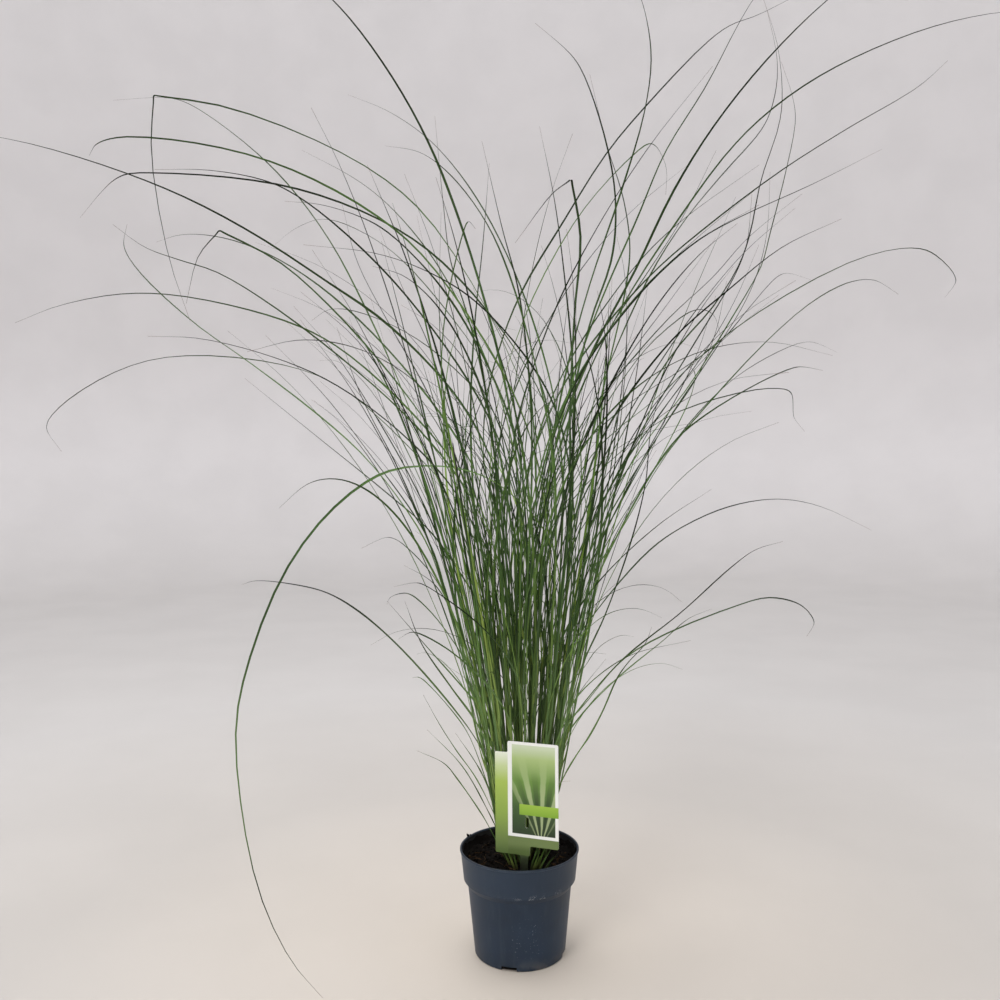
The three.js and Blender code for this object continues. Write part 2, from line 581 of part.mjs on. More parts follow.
// A smooth line through a leaf's points, from its collar on the stem's axis to its tip.
function leafLine(shoot, leaf, number) {
  const collar = stemPoint(shoot, leaf.collar);
  const rise = blade.elbowRise;
  const elbow = stemPoint(shoot, leaf.collar + rise);
  const [first, second] = leaf.points;
  const reference = stemPoint(shoot, first.z);
  const aside = new THREE.Vector3(first.x - reference.x, first.y - reference.y, 0);
  const drawnSide = number * goldenTurn;
  if (aside.length() < blade.leastAside) aside.set(Math.cos(drawnSide), Math.sin(drawnSide), 0);
  elbow.addScaledVector(aside.normalize(), blade.elbowReach);
  const guides = [];
  const span = elbow.distanceTo(first);
  if (span > blade.guidedSpan) {
    const leaving = new THREE.Vector3(shoot.lean[0], shoot.lean[1], 1).normalize().multiplyScalar(span);
    const arriving = second.clone().sub(first).normalize().multiplyScalar(span);
    for (const share of [1 / 3, 2 / 3]) {
      const [s2, s3] = [share ** 2, share ** 3];
      const point = elbow.clone().multiplyScalar(2 * s3 - 3 * s2 + 1);
      point.addScaledVector(leaving, s3 - 2 * s2 + share);
      point.addScaledVector(first, 3 * s2 - 2 * s3);
      guides.push(point.addScaledVector(arriving, s3 - s2));
    }
  }
  const free = new THREE.CatmullRomCurve3([elbow, ...guides, ...leaf.points]);
  const fine = free.getPoints((guides.length + leaf.points.length) * blade.finePoints);
  return { collar, fine };
}

// Knots along a line, closer together where it turns more.
function knotsOn(fine) {
  const measure = [0];
  for (let i = 1; i < fine.length; i++) {
    const step = fine[i].clone().sub(fine[i - 1]);
    const before = i > 1 ? fine[i - 1].clone().sub(fine[i - 2]) : step;
    const turned = step.length() > 0 && before.length() > 0 ? step.angleTo(before) : 0;
    measure.push(measure[i - 1] + step.length() / blade.segmentLength + turned / blade.segmentTurn);
  }
  const whole = measure.at(-1);
  const count = limit(Math.round(whole), blade.fewestSegments, blade.mostSegments);
  const knots = [fine[0].clone()];
  let i = 1;
  for (let k = 1; k < count; k++) {
    const wanted = (whole * k) / count;
    while (measure[i] < wanted) i++;
    const share = (wanted - measure[i - 1]) / (measure[i] - measure[i - 1]);
    knots.push(fine[i - 1].clone().lerp(fine[i], share));
  }
  knots.push(fine.at(-1).clone());
  return knots;
}

// Half the blade's width at a share of its length: narrow at the collar, widest at a third.
function halfWidth(width, share) {
  const opened = THREE.MathUtils.smoothstep(share, 0, blade.widestFrom);
  const taper = 1 - share ** blade.taperPower;
  return Math.max(blade.leastHalfWidth, (width / 2) * between(blade.collarShare, 1, opened) * taper);
}

function makeStrands(shoots) {
  const strands = [];
  shoots.forEach((shoot, index) => {
    const top = Math.max(...shoot.leaves.map((leaf) => leaf.collar)) + stem.pastLastLeaf;
    const heights = [shoot.level, between(shoot.level, top, stem.middle), top];
    const middleRadius = between(stem.footRadius, stem.topRadius, stem.middleTaper);
    const radii = [stem.footRadius, middleRadius, stem.topRadius];
    strands.push({ index, stem: true, knots: heights.map((z) => stemPoint(shoot, z)), radii });
    shoot.leaves.forEach((leaf, number) => {
      const { collar, fine } = leafLine(shoot, leaf, number + index);
      const knots = [collar, ...knotsOn(fine)];
      const radii = knots.map((knot, i) => halfWidth(leaf.width, i / (knots.length - 1)));
      strands.push({ index, stem: false, leaf, knots, radii });
    });
  });
  return strands;
}

// The shares along two straight stretches at which they come nearest to each other.
function nearestShares(a0, a1, b0, b1) {
  const [u, v, w] = [a1.clone().sub(a0), b1.clone().sub(b0), a0.clone().sub(b0)];
  const [uu, uv, vv, uw, vw] = [u.dot(u), u.dot(v), v.dot(v), u.dot(w), v.dot(w)];
  const flatness = uu * vv - uv * uv;
  let s = flatness > 1e-9 * uu * vv ? limit((uv * vw - vv * uw) / flatness, 0, 1) : 0.5;
  const t = limit((uv * s + vw) / vv, 0, 1);
  s = limit((uv * t - uw) / uu, 0, 1);
  return [s, t];
}

// Moves the knots at both ends of two stretches apart where the stretches come too near.
function partStretches(a, b) {
  const [p, q] = [a.strand, b.strand];
  const [s, t] = nearestShares(p.knots[a.i], p.knots[a.i + 1], q.knots[b.i], q.knots[b.i + 1]);
  const apart = p.knots[a.i].clone().lerp(p.knots[a.i + 1], s);
  apart.sub(q.knots[b.i].clone().lerp(q.knots[b.i + 1], t));
  const gap = apart.length();
  const radiusA = between(p.radii[a.i], p.radii[a.i + 1], s);
  const radiusB = between(q.radii[b.i], q.radii[b.i + 1], t);
  const short = radiusA + radiusB + settling.clearance - gap;
  if (short <= 0) return;
  const [wa0, wa1] = [(1 - s) * p.free[a.i], s * p.free[a.i + 1]];
  const [wb0, wb1] = [(1 - t) * q.free[b.i], t * q.free[b.i + 1]];
  const grip = Math.max(wa0 ** 2 + wa1 ** 2 + wb0 ** 2 + wb1 ** 2, settling.leastGrip);
  const push = (settling.ease * short) / grip / gap;
  p.moves[a.i].addScaledVector(apart, push * wa0);
  p.moves[a.i + 1].addScaledVector(apart, push * wa1);
  q.moves[b.i].addScaledVector(apart, -push * wb0);
  q.moves[b.i + 1].addScaledVector(apart, -push * wb1);
}

// Bends the leaves clear of each other, of the stems, of the label and of the ground.
function bendClear(strands) {
  const stretches = [];
  for (const strand of strands) {
    strand.moves = strand.knots.map(() => new THREE.Vector3());
    strand.free = strand.knots.map((knot, i) => (strand.stem || i < 2 ? 0 : 1));
    for (let i = 0; i + 1 < strand.knots.length; i++) stretches.push({ strand, i });
  }
  let pairs = [];
  for (let round = 0; round < settling.rounds; round++) {
    if (round % settling.refresh === 0) pairs = nearPairs(stretches);
    for (const [a, b] of pairs) partStretches(a, b);
    for (const { knots, radii, moves, free } of strands) {
      knots.forEach((knot, i) => {
        if (free[i]) {
          knot.add(moves[i].clampLength(0, settling.longestMove));
          keepOffLabel(knot, radii[i]);
          knot.z = Math.max(knot.z, settling.leastHeight);
        }
        moves[i].set(0, 0, 0);
      });
    }
  }
}

// Pairs of stretches of different strands that lie close enough to meet.
function nearPairs(stretches) {
  for (const stretch of stretches) {
    const ends = stretch.strand.knots.slice(stretch.i, stretch.i + 2);
    stretch.box = new THREE.Box3().setFromPoints(ends).expandByScalar(settling.reach / 2);
  }
  const pairs = [];
  stretches.forEach((a, index) => {
    for (const b of stretches.slice(index + 1)) {
      if (a.strand === b.strand || (a.strand.stem && b.strand.stem)) continue;
      const joined = a.strand.index === b.strand.index && a.i <= 2 && b.i <= 2;
      if (!joined && a.box.intersectsBox(b.box)) pairs.push([a, b]);
    }
  });
  return pairs;
}

function keepOffLabel(point, radius) {
  if (point.z > label.foot + label.height + settling.labelTop) return;
  const turn = label.turn * degrees;
  const [dx, dy] = [point.x - label.centre[0], point.y - label.centre[1]];
  const across = dx * Math.cos(turn) + dy * Math.sin(turn);
  const behind = dy * Math.cos(turn) - dx * Math.sin(turn);
  const wanted = radius + label.thick / 2 + settling.labelGap;
  if (Math.abs(across) > label.width / 2 + settling.labelSide || behind > wanted) return;
  point.x -= (wanted - behind) * Math.sin(turn);
  point.y += (wanted - behind) * Math.cos(turn);
}

function ringAt(centre, ahead, sides, radius) {
  const ring = [];
  const acrossX = new THREE.Vector3(1, 0, 0).addScaledVector(ahead, -ahead.x).normalize();
  const acrossY = ahead.clone().cross(acrossX);
  for (let k = 0; k < sides; k++) {
    const turn = (k * 2 * Math.PI) / sides;
    const point = centre.clone().addScaledVector(acrossX, radius * Math.cos(turn));
    ring.push(point.addScaledVector(acrossY, radius * Math.sin(turn)));
  }
  return ring;
}

function stemSolid(shoot, strand) {
  const up = new THREE.Vector3(0, 0, 1);
  const leaning = new THREE.Vector3(shoot.lean[0], shoot.lean[1], 1).normalize();
  const [, middle, top] = strand.knots;
  const foot = new THREE.Vector3(...shoot.foot, soil.edgeHeight - soil.holeDepth + fitGap);
  const surface = new THREE.Vector3(...shoot.foot, shoot.level);
  return solidOf(
    loft([
      ringAt(foot, up, stem.sides, stem.footRadius),
      ringAt(surface, up, stem.sides, stem.footRadius),
      ringAt(middle, leaning, stem.sides, strand.radii[1]),
      ringAt(top, leaning, stem.sides, strand.radii[2]),
    ]),
  );
}

// A blade is three-sided: a flat upper face with the midrib's keel under it.
function bladeSolid(strand, seed) {
  const { knots, leaf } = strand;
  const last = knots.length - 1;
  const course = knots[last].clone().sub(knots[0]);
  const across = new THREE.Vector3(-course.y, course.x, 0).normalize();
  const twistStart = between(-1, 1, draw(seed)) * blade.twistStart;
  const twistGrowth = between(-1, 1, draw(seed + 1)) * blade.twistGrowth;
  const rings = knots.map((knot, i) => {
    if (i === last) return [knot];
    const ahead = knots[i + 1].clone().sub(knots[Math.max(0, i - 1)]).normalize();
    const side = across.clone().addScaledVector(ahead, -across.dot(ahead)).normalize();
    side.applyAxisAngle(ahead, twistStart + (twistGrowth * i) / last);
    const under = side.clone().cross(ahead);
    const half = halfWidth(leaf.width, i / last);
    const keel = Math.max(blade.leastKeel, 2 * half * blade.keelShare);
    return [
      knot.clone().addScaledVector(side, half).addScaledVector(under, -keel / 3),
      knot.clone().addScaledVector(side, -half).addScaledVector(under, -keel / 3),
      knot.clone().addScaledVector(under, (keel * 2) / 3),
    ];
  });
  return solidOf(loft(rings));
}

function finish(color, roughness) {
  return new THREE.MeshStandardMaterial({ color, roughness, metalness: 0 });
}

function named(name, geometry, material) {
  const mesh = new THREE.Mesh(geometry, material);
  mesh.name = name;
  return mesh;
}

const shoots = makeShoots();
growSeenLeaves(shoots);
growFillingLeaves(shoots);
const strands = makeStrands(shoots);
bendClear(strands);

const plant = new THREE.Group();
const plastic = finish("#323e4b", 0.55);
const peat = finish("#231a14", 0.95);
const card = finish("#8fb63a", 0.4);
const leafGreen = finish("#3f6a33", 0.6);
plant.add(named("pot", makePot(), plastic));
plant.add(named("soil", makeSoil(shoots), peat));
plant.add(named("plant_label", makeLabel(), card));
shoots.forEach((shoot, index) => {
  const [stalk, ...blades] = strands.filter((strand) => strand.index === index);
  let body = stemSolid(shoot, stalk);
  blades.forEach((strand, number) => {
    body = body.add(bladeSolid(strand, index * 13 + number * 3));
  });
  const name = "leafy_stem_" + String(index + 1).padStart(2, "0");
  plant.add(named(name, geometryOf(body), leafGreen));
});

export default plant;
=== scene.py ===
# A clump of fine-leaved maiden grass in a round nursery pot, with its plant label.
# The growth rule and the leaf courses are those of the frame's own model, in millimetres.
import math
import bpy
import numpy as np
from mathutils import Matrix, Vector


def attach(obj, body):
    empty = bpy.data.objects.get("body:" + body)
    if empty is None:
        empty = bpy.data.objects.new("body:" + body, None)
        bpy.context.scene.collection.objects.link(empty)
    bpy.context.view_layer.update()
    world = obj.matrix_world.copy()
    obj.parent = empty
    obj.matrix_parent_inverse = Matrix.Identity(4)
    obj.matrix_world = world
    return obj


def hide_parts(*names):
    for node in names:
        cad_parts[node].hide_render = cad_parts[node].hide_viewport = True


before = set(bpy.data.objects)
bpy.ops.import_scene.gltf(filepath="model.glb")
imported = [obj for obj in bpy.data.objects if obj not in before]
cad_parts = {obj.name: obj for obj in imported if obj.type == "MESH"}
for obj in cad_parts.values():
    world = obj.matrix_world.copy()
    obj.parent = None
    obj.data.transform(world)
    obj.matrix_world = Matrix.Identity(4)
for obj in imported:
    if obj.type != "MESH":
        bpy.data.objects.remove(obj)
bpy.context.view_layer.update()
bpy.ops.object.select_all(action="DESELECT")
print("frame loaded:", len(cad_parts), "nodes")

mm = 0.001
cm = 10  # in millimetres
mergeWithin = 0.01
goldenTurn = math.pi * (3 - math.sqrt(5))
anyTurn = 6.28  # a turn that is drawn at random reaches up to this

# Camera, floor and light

view = {
    "eye": (-23.8, -1381, 707.5),
    "pitchDown": 2.52,
    "roll": -0.45,
    "lens": 35.3,
    "farthest": 50000,
}
studio = {
    "floorRadius": 4200,
    "coveRadius": 1600,
    "coveSteps": 12,
    "wallHeight": 6500,
    "turnSteps": 96,
    # painted light: the floor is painted paler near the pot, against the plant's shadow, and paler up the
    # cove wall, against its darker top
    "colours": ((0, "#d3c9bc"), (220, "#c3bbb2"), (700, "#b6b1ac"), (1600, "#c2bfbd"), (4300, "#d1cecc"),
                (6000, "#e6e3e3")),
    "colourRise": 8000,  # a rise of this much goes through all the colours
    "shade": 0.04,
    "roughness": 0.7,
    "smoothAngle": 60,
    "skyColour": "#f4f5f7",
    "skyStrength": 1.27,
}
softboxes = {
    "overhead": {"place": (-300, 300, 3000), "target": (0, 0, 500), "size": (1800, 1800), "power": 46},
    "front": {"place": (-1500, -2300, 2100), "target": (0, 0, 650), "size": (1200, 1200), "power": 34},
}


def linear(hexColour):
    parts = [int(hexColour[i:i + 2], 16) / 255 for i in (1, 3, 5)]
    return [part / 12.92 if part <= 0.04045 else ((part + 0.055) / 1.055) ** 2.4 for part in parts] + [1]


def inMetres(place):
    return [value * mm for value in place]


def makeCamera():
    down = Matrix.Rotation(math.radians(90 - view["pitchDown"]), 3, "X")
    turn = (down @ Matrix.Rotation(math.radians(view["roll"]), 3, "Z")).to_euler()
    bpy.ops.object.camera_add(location=inMetres(view["eye"]), rotation=turn)
    camera = bpy.context.object
    camera.data.lens = view["lens"]
    camera.data.clip_end = view["farthest"] * mm
    bpy.context.scene.camera = camera


def addSoftbox(name, place, target, size, power):
    bpy.ops.object.light_add(type="AREA", location=inMetres(place))
    lamp = bpy.context.object
    lamp.name = name
    lamp.data.shape = "RECTANGLE"
    lamp.data.size, lamp.data.size_y = inMetres(size)
    lamp.data.energy = power
    lamp.rotation_euler = (Vector(target) - Vector(place)).to_track_quat("-Z", "Y").to_euler()


# Shader helper: Python's operators on a socket add Math nodes.

shaderSockets = {
    "colour": "Base Color",
    "roughness": "Roughness",
    "normal": "Normal",
    "shine": "Specular IOR Level",
}


class Wire:
    def __init__(self, tree, socket):
        self.tree = tree
        self.socket = socket

    def reckon(self, operation, *others):
        node = self.tree.nodes.new("ShaderNodeMath")
        node.operation = operation
        for place, value in zip(node.inputs, (self, *others)):
            plug(self.tree, place, value)
        return Wire(self.tree, node.outputs[0])

    def __add__(self, other):
        return self.reckon("ADD", other)

    def __radd__(self, other):
        return self.reckon("ADD", other)

    def __mul__(self, other):
        return self.reckon("MULTIPLY", other)

    def __rmul__(self, other):
        return self.reckon("MULTIPLY", other)

    def __sub__(self, other):
        return self.reckon("SUBTRACT", other)

    def __rsub__(self, other):
        return self.reckon("MULTIPLY", -1).reckon("ADD", other)

    def __truediv__(self, other):
        return self.reckon("DIVIDE", other)

    def __pow__(self, other):
        return self.reckon("POWER", other)

    def sine(self):
        return self.reckon("SINE")

    def size(self):
        return self.reckon("ABSOLUTE")

    def above(self, low, high):
        return self.ramped(low, high, 0, 1)

    def below(self, low, high):
        return self.ramped(low, high, 1, 0)

    def ramped(self, low, high, atLow, atHigh):
        node = self.tree.nodes.new("ShaderNodeMapRange")
        node.interpolation_type = "SMOOTHSTEP"
        for place, value in zip(node.inputs, (self, low, high, atLow, atHigh)):
            plug(self.tree, place, value)
        return Wire(self.tree, node.outputs[0])


def plug(tree, place, value):
    if isinstance(value, Wire):
        tree.links.new(value.socket, place)
    elif isinstance(value, str):
        place.default_value = linear(value)
    else:
        place.default_value = value


def setStops(ramp, stops):
    while len(ramp.elements) < len(stops):
        ramp.elements.new(0.5)
    for element, (place, colour) in zip(ramp.elements, stops):
        element.position = place
        element.color = linear(colour)


class Finish:
    def __init__(self, name):
        self.material = bpy.data.materials.new(name)
        self.material.use_nodes = True
        self.tree = self.material.node_tree
        self.shader = self.tree.nodes["Principled BSDF"]

    def add(self, kind, settings, sockets, output=0):
        node = self.tree.nodes.new("ShaderNode" + kind)
        for name, value in settings.items():
            if name == "stops":
                setStops(node.color_ramp, value)
            else:
                setattr(node, name, value)
        for name, value in sockets.items():
            plug(self.tree, node.inputs[name], value)
        return Wire(self.tree, node.outputs[output])

    def objectPlace(self):
        return self.add("TexCoord", {}, {}, "Object")

    def parts(self, vector):
        return [self.add("SeparateXYZ", {}, {"Vector": vector}, axis) for axis in "XYZ"]

    def attribute(self, name):
        return self.add("Attribute", {"attribute_name": name}, {}, "Fac")

    def noise(self, vector, scale, detail=3, roughness=0.5):
        sockets = {"Vector": vector, "Scale": scale, "Detail": detail, "Roughness": roughness}
        return self.add("TexNoise", {}, sockets, "Fac")

    def stretched(self, vector, stretch):
        return self.add("Mapping", {}, {"Vector": vector, "Scale": stretch})

    def mix(self, share, first, second):
        node = self.tree.nodes.new("ShaderNodeMix")
        node.data_type = "RGBA"
        for place, value in zip((0, 6, 7), (share, first, second)):  # its factor and two colours
            plug(self.tree, node.inputs[place], value)
        return Wire(self.tree, node.outputs[2])

    def ramp(self, share, stops):
        return self.add("ValToRGB", {"stops": stops}, {"Fac": share})

    def bump(self, height, strength, distance):
        sockets = {"Height": height, "Strength": strength, "Distance": distance}
        return self.add("Bump", {}, sockets)

    def wear(self, **sockets):
        for name, value in sockets.items():
            plug(self.tree, self.shader.inputs[shaderSockets[name]], value)
        return self.material


# Modelling helpers. Outlines are in millimetres and every finished mesh sits at the origin.


def startPiece(name):
    piece = bpy.context.object
    piece.name = name
    piece.data.name = name
    return piece


def choose(piece):
    bpy.ops.object.select_all(action="DESELECT")
    piece.select_set(True)
    bpy.context.view_layer.objects.active = piece


def settle(piece):
    choose(piece)
    bpy.ops.object.transform_apply(location=True, rotation=True, scale=True)
    return piece


def joinAll(parts):
    choose(parts[0])
    for part in parts[1:]:
        part.select_set(True)
    bpy.ops.object.join()
    return parts[0]


def applyModifier(piece, kind, **settings):
    modifier = piece.modifiers.new(kind.title(), kind)
    for name, value in settings.items():
        setattr(modifier, name, value)
    choose(piece)
    bpy.ops.object.modifier_apply(modifier=modifier.name)


def cutAway(piece, cutter):
    applyModifier(piece, "BOOLEAN", operation="DIFFERENCE", solver="EXACT", object=cutter)
    bpy.data.objects.remove(cutter)


def drawLine(name, outline):
    bpy.ops.mesh.primitive_plane_add(size=mm)
    piece = startPiece(name)
    bpy.ops.object.mode_set(mode="EDIT")
    bpy.ops.mesh.merge(type="CENTER")
    bpy.ops.transform.translate(value=inMetres(outline[0]))
    for start, end in zip(outline, outline[1:]):
        step = [(b - a) * mm for a, b in zip(start, end)]
        bpy.ops.mesh.extrude_vertices_move(TRANSFORM_OT_translate={"value": step})
    bpy.ops.mesh.select_all(action="SELECT")
    return piece


def spinOutline(name, outline, steps):
    piece = drawLine(name, [(radius, 0, height) for radius, height in outline])
    bpy.ops.mesh.spin(steps=steps, angle=2 * math.pi, center=(0, 0, 0), axis=(0, 0, 1))
    bpy.ops.mesh.select_all(action="SELECT")
    bpy.ops.mesh.remove_doubles(threshold=mergeWithin * mm)
    bpy.ops.mesh.normals_make_consistent(inside=False)
    bpy.ops.object.mode_set(mode="OBJECT")
    return piece


def dress(piece, material, angle):
    piece.data.materials.clear()
    piece.data.materials.append(material)
    choose(piece)
    bpy.ops.object.shade_smooth_by_angle(angle=math.radians(angle))


def placesOf(mesh):
    places = np.empty(len(mesh.vertices) * 3)
    mesh.vertices.foreach_get("co", places)
    return places.reshape(-1, 3)


def movePlaces(mesh, places):
    mesh.vertices.foreach_set("co", np.asarray(places, float).ravel())
    mesh.update()


def copyTo(piece, name, places):
    copy = bpy.data.objects.new(name, piece.data.copy())
    bpy.context.collection.objects.link(copy)
    movePlaces(copy.data, places * mm)
    return copy


def addMarks(mesh, **marks):
    for name, values in marks.items():
        layer = mesh.attributes.new(name, "FLOAT", "POINT")
        layer.data.foreach_set("value", np.broadcast_to(values, len(mesh.vertices)).astype(float))


def draw(seed):
    wave = math.sin(seed * 12.9898 + 4.1414) * 43758.5453
    return wave - math.floor(wave)


def between(low, high, share):
    return low + (high - low) * share


def limit(value, low, high):
    return min(high, max(low, value))


def unit(vectors):
    return vectors / np.linalg.norm(vectors, axis=-1, keepdims=True)


def smoothShare(value, low, high):
    share = np.clip((value - low) / (high - low), 0, 1)
    return share * share * (3 - 2 * share)


def makeStudio():
    flat = studio["floorRadius"]
    cove = studio["coveRadius"]
    outline = [(0, 0), (flat / 3, 0), (flat, 0)]
    for i in range(1, studio["coveSteps"] + 1):
        turn = i * math.pi / 2 / studio["coveSteps"]
        outline.append((flat + cove * math.sin(turn), cove - cove * math.cos(turn)))
    outline.append((flat + cove, studio["wallHeight"]))
    floor = spinOutline("floor", outline, studio["turnSteps"])
    bpy.ops.object.mode_set(mode="EDIT")
    bpy.ops.mesh.select_all(action="SELECT")
    bpy.ops.mesh.flip_normals()
    bpy.ops.object.mode_set(mode="OBJECT")
    paint = Finish("paleFloor")
    place = paint.objectPlace()
    x, y, height = paint.parts(place)
    widest = studio["colours"][-1][0]
    stops = [(reach / widest, colour) for reach, colour in studio["colours"]]
    away = (x * x + y * y) ** 0.5 / (widest * mm) + height / (studio["colourRise"] * mm)
    # painted light: this colour evens out the shadow near the pot and the darker top of the wall
    colour = paint.ramp(away, stops)
    cloud = paint.noise(place, 3, 5)
    colour = paint.mix(cloud.above(0.3, 0.7) * studio["shade"], colour, "#000000")
    dress(floor, paint.wear(colour=colour, roughness=studio["roughness"]), studio["smoothAngle"])
    world = bpy.data.worlds.new("studio")
    bpy.context.scene.world = world
    world.use_nodes = True
    sky = world.node_tree.nodes["Background"]
    sky.inputs["Color"].default_value = linear(studio["skyColour"])
    sky.inputs["Strength"].default_value = studio["skyStrength"]
    for name, softbox in softboxes.items():
        addSoftbox(name, **softbox)
    bpy.context.scene.view_settings.view_transform = "Standard"


makeCamera()
makeStudio()
print("camera and studio ready")

# Pot

pot = {
    "steps": 144,
    "height": 150,
    "wall": 1.6,
    "floor": 2.2,
    "rimRadius": 85,
    "lip": 0.8,
    "lipHeight": 3,
    "bandFootHeight": 107.5,
    "bandFootRadius": 79.9,
    "shoulderHeight": 99.5,
    "shoulderRadius": 74,
    "baseRadius": 64.6,
    "baseBevel": 1.5,
    "notchCount": 4,
    "notchWidth": 22,
    "notchHeight": 6.5,
    "notchDepth": 12,
    "notchTurn": -15,
    "edgeRound": 0.45,
    "edgeAngle": 28,
    "smoothAngle": 32,
    "floorRing": 30,
    "wallRings": (30, 60),
    "bandRing": 120,
}
# Where the plastic is rubbed, dusty or darker, and where a highlight and a shade are painted on the rim:
# each mark fades in or out between two places.
potWear = {
    "rimHighlight": (146.5, 148.5),
    "rimTop": (148.6, 149.6),
    "dustTop": (0, 22),
    "speckFoot": (12, 24),
    "speckTop": (50, 85),
    "speckLeft": (-20, 4),
    "speckRight": (20, 34),
    "speckFront": (-40, -20),
    "band": (-0.5, 2.5),  # this and the next two are heights over the band's foot
    "scuffFoot": (-2, 0),
    "scuffTop": (1, 8),
    "scuffFront": (-55, 0),
    "scuffLeft": (-16, 4),
    "scuffRight": (30, 60),
    "innerWall": (-1.3, -0.7),  # from the outside of the wall inwards
    "innerFoot": (115, 120),
    "innerTop": (147.5, 149),
}


def potWall(inset):
    return [
        (pot["baseRadius"] - inset, 0),
        (pot["shoulderRadius"] - inset, pot["shoulderHeight"]),
        (pot["bandFootRadius"] - inset, pot["bandFootHeight"]),
        (pot["rimRadius"] - pot["lip"] - inset, pot["height"]),
    ]


def wallRadius(height, inset):
    radii, heights = zip(*potWall(inset))
    return float(np.interp(height, heights, radii))


def plasticFinish():
    paint = Finish("potPlastic")
    place = paint.objectPlace()
    x, y, height = paint.parts(place)
    fromBand = height - pot["bandFootHeight"] * mm
    worn = {name: inMetres(limits) for name, limits in potWear.items()}
    cloud = paint.noise(place, 14, 4)
    streaks = paint.noise(paint.stretched(place, (1, 1, 0.12)), 130, 4)
    body = paint.ramp(cloud, [(0.3, "#1a293a"), (0.7, "#213246")])
    body = paint.mix(streaks.above(0.5, 0.75) * 0.35, body, "#35404c")
    body = paint.mix(fromBand.above(*worn["band"]) * 0.4, body, "#2e3b4a")
    # a painted highlight along the rim, broken up into rubbed-looking patches
    rubbedRimHighlight = height.above(*worn["rimHighlight"]) * paint.noise(place, 60, 4).above(0.25, 0.6)
    body = paint.mix(rubbedRimHighlight * 0.12, body, "#5f6c79")
    # painted shade: the rim's top is painted near black where it would catch the light
    body = paint.mix(height.above(*worn["rimTop"]) * 0.6, body, "#111923")
    # pale specks, most of them low on the front
    speckled = height.above(*worn["speckFoot"]) * height.below(*worn["speckTop"])
    speckled = speckled * x.above(*worn["speckLeft"]) * x.below(*worn["speckRight"])
    speckled = speckled * y.below(*worn["speckFront"]) + 0.06
    dust = paint.noise(place, 520, 3).above(0.66, 0.72) * speckled * 0.65
    body = paint.mix(dust, body, "#a9b1b8")
    # pale scuffs where the band's lower edge has rubbed, more towards the front
    edge = fromBand.above(*worn["scuffFoot"]) * fromBand.below(*worn["scuffTop"])
    facing = y.below(*worn["scuffFront"]) * x.above(*worn["scuffLeft"])
    facing = facing * x.ramped(*worn["scuffRight"], 1, 0.35)
    patchy = paint.noise(place, 75, 2).above(0.47, 0.56)
    scratches = paint.noise(place, 1150, 3, 0.6).above(0.56, 0.66)
    scuffs = edge * scratches * facing.ramped(0, 1, 0.05, 0.8) * patchy
    body = paint.mix(scuffs, body, "#f0f2f3")
    lowDust = height.below(*worn["dustTop"]) * paint.noise(place, 45, 4).above(0.45, 0.7)
    body = paint.mix(lowDust * 0.3, body, "#77736b")
    # the inside of the wall is darker from below the soil's edge up to just under the rim
    bandSlope = (pot["rimRadius"] - pot["bandFootRadius"]) / (pot["height"] - pot["bandFootHeight"])
    fromWall = (x * x + y * y) ** 0.5 - fromBand * bandSlope - pot["bandFootRadius"] * mm
    inside = fromWall.below(*worn["innerWall"]) * height.above(*worn["innerFoot"])
    inside = inside * height.below(*worn["innerTop"])
    body = paint.mix(inside * cloud.ramped(0.2, 0.6, 0.7, 1), body, "#0d0b0a")
    roughness = 0.42 + cloud * 0.12 + dust * 0.3 + scuffs * 0.3 + inside * 0.3
    grain = paint.bump(paint.noise(place, 900, 2) * 0.5 + streaks * 0.5, 0.22, 0.2 * mm)
    return paint.wear(colour=body, roughness=roughness, normal=grain, shine=0.35)


def makePot():
    lipFoot = pot["height"] - pot["lipHeight"]
    heights = (pot["baseBevel"], *pot["wallRings"], pot["shoulderHeight"], pot["bandFootHeight"],
               pot["bandRing"], lipFoot)
    innerWall = potWall(pot["wall"])
    outline = [
        (0, 0),
        (pot["floorRing"], 0),
        (pot["baseRadius"] - pot["baseBevel"], 0),
        *[(wallRadius(height, 0), height) for height in heights],
        (pot["rimRadius"], lipFoot + pot["lip"]),
        (pot["rimRadius"], pot["height"] - pot["lip"] / 2),
        (pot["rimRadius"] - pot["lip"] / 2, pot["height"]),
        *innerWall[:0:-1],
        (wallRadius(pot["floor"], pot["wall"]), pot["floor"]),
        (0, pot["floor"]),
    ]
    piece = spinOutline("nurseryPot", outline, pot["steps"])
    for i in range(pot["notchCount"]):
        turn = math.radians(pot["notchTurn"] + i * 360 / pot["notchCount"] - 90)
        place = (pot["baseRadius"] * math.cos(turn), pot["baseRadius"] * math.sin(turn), 0)
        bpy.ops.mesh.primitive_cube_add(size=1, location=inMetres(place), rotation=(0, 0, turn))
        notch = startPiece("notch")
        notch.scale = inMetres((2 * pot["notchDepth"], pot["notchWidth"], 2 * pot["notchHeight"]))
        cutAway(piece, settle(notch))
    applyModifier(piece, "BEVEL", width=pot["edgeRound"] * mm, segments=2, limit_method="ANGLE",
                  angle_limit=math.radians(pot["edgeAngle"]), use_clamp_overlap=True)
    dress(piece, plasticFinish(), pot["smoothAngle"])
    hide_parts("pot")
    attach(piece, "root")


# Clump: where the shoots stand in the crown, how the leaves leave them, and what they keep clear of

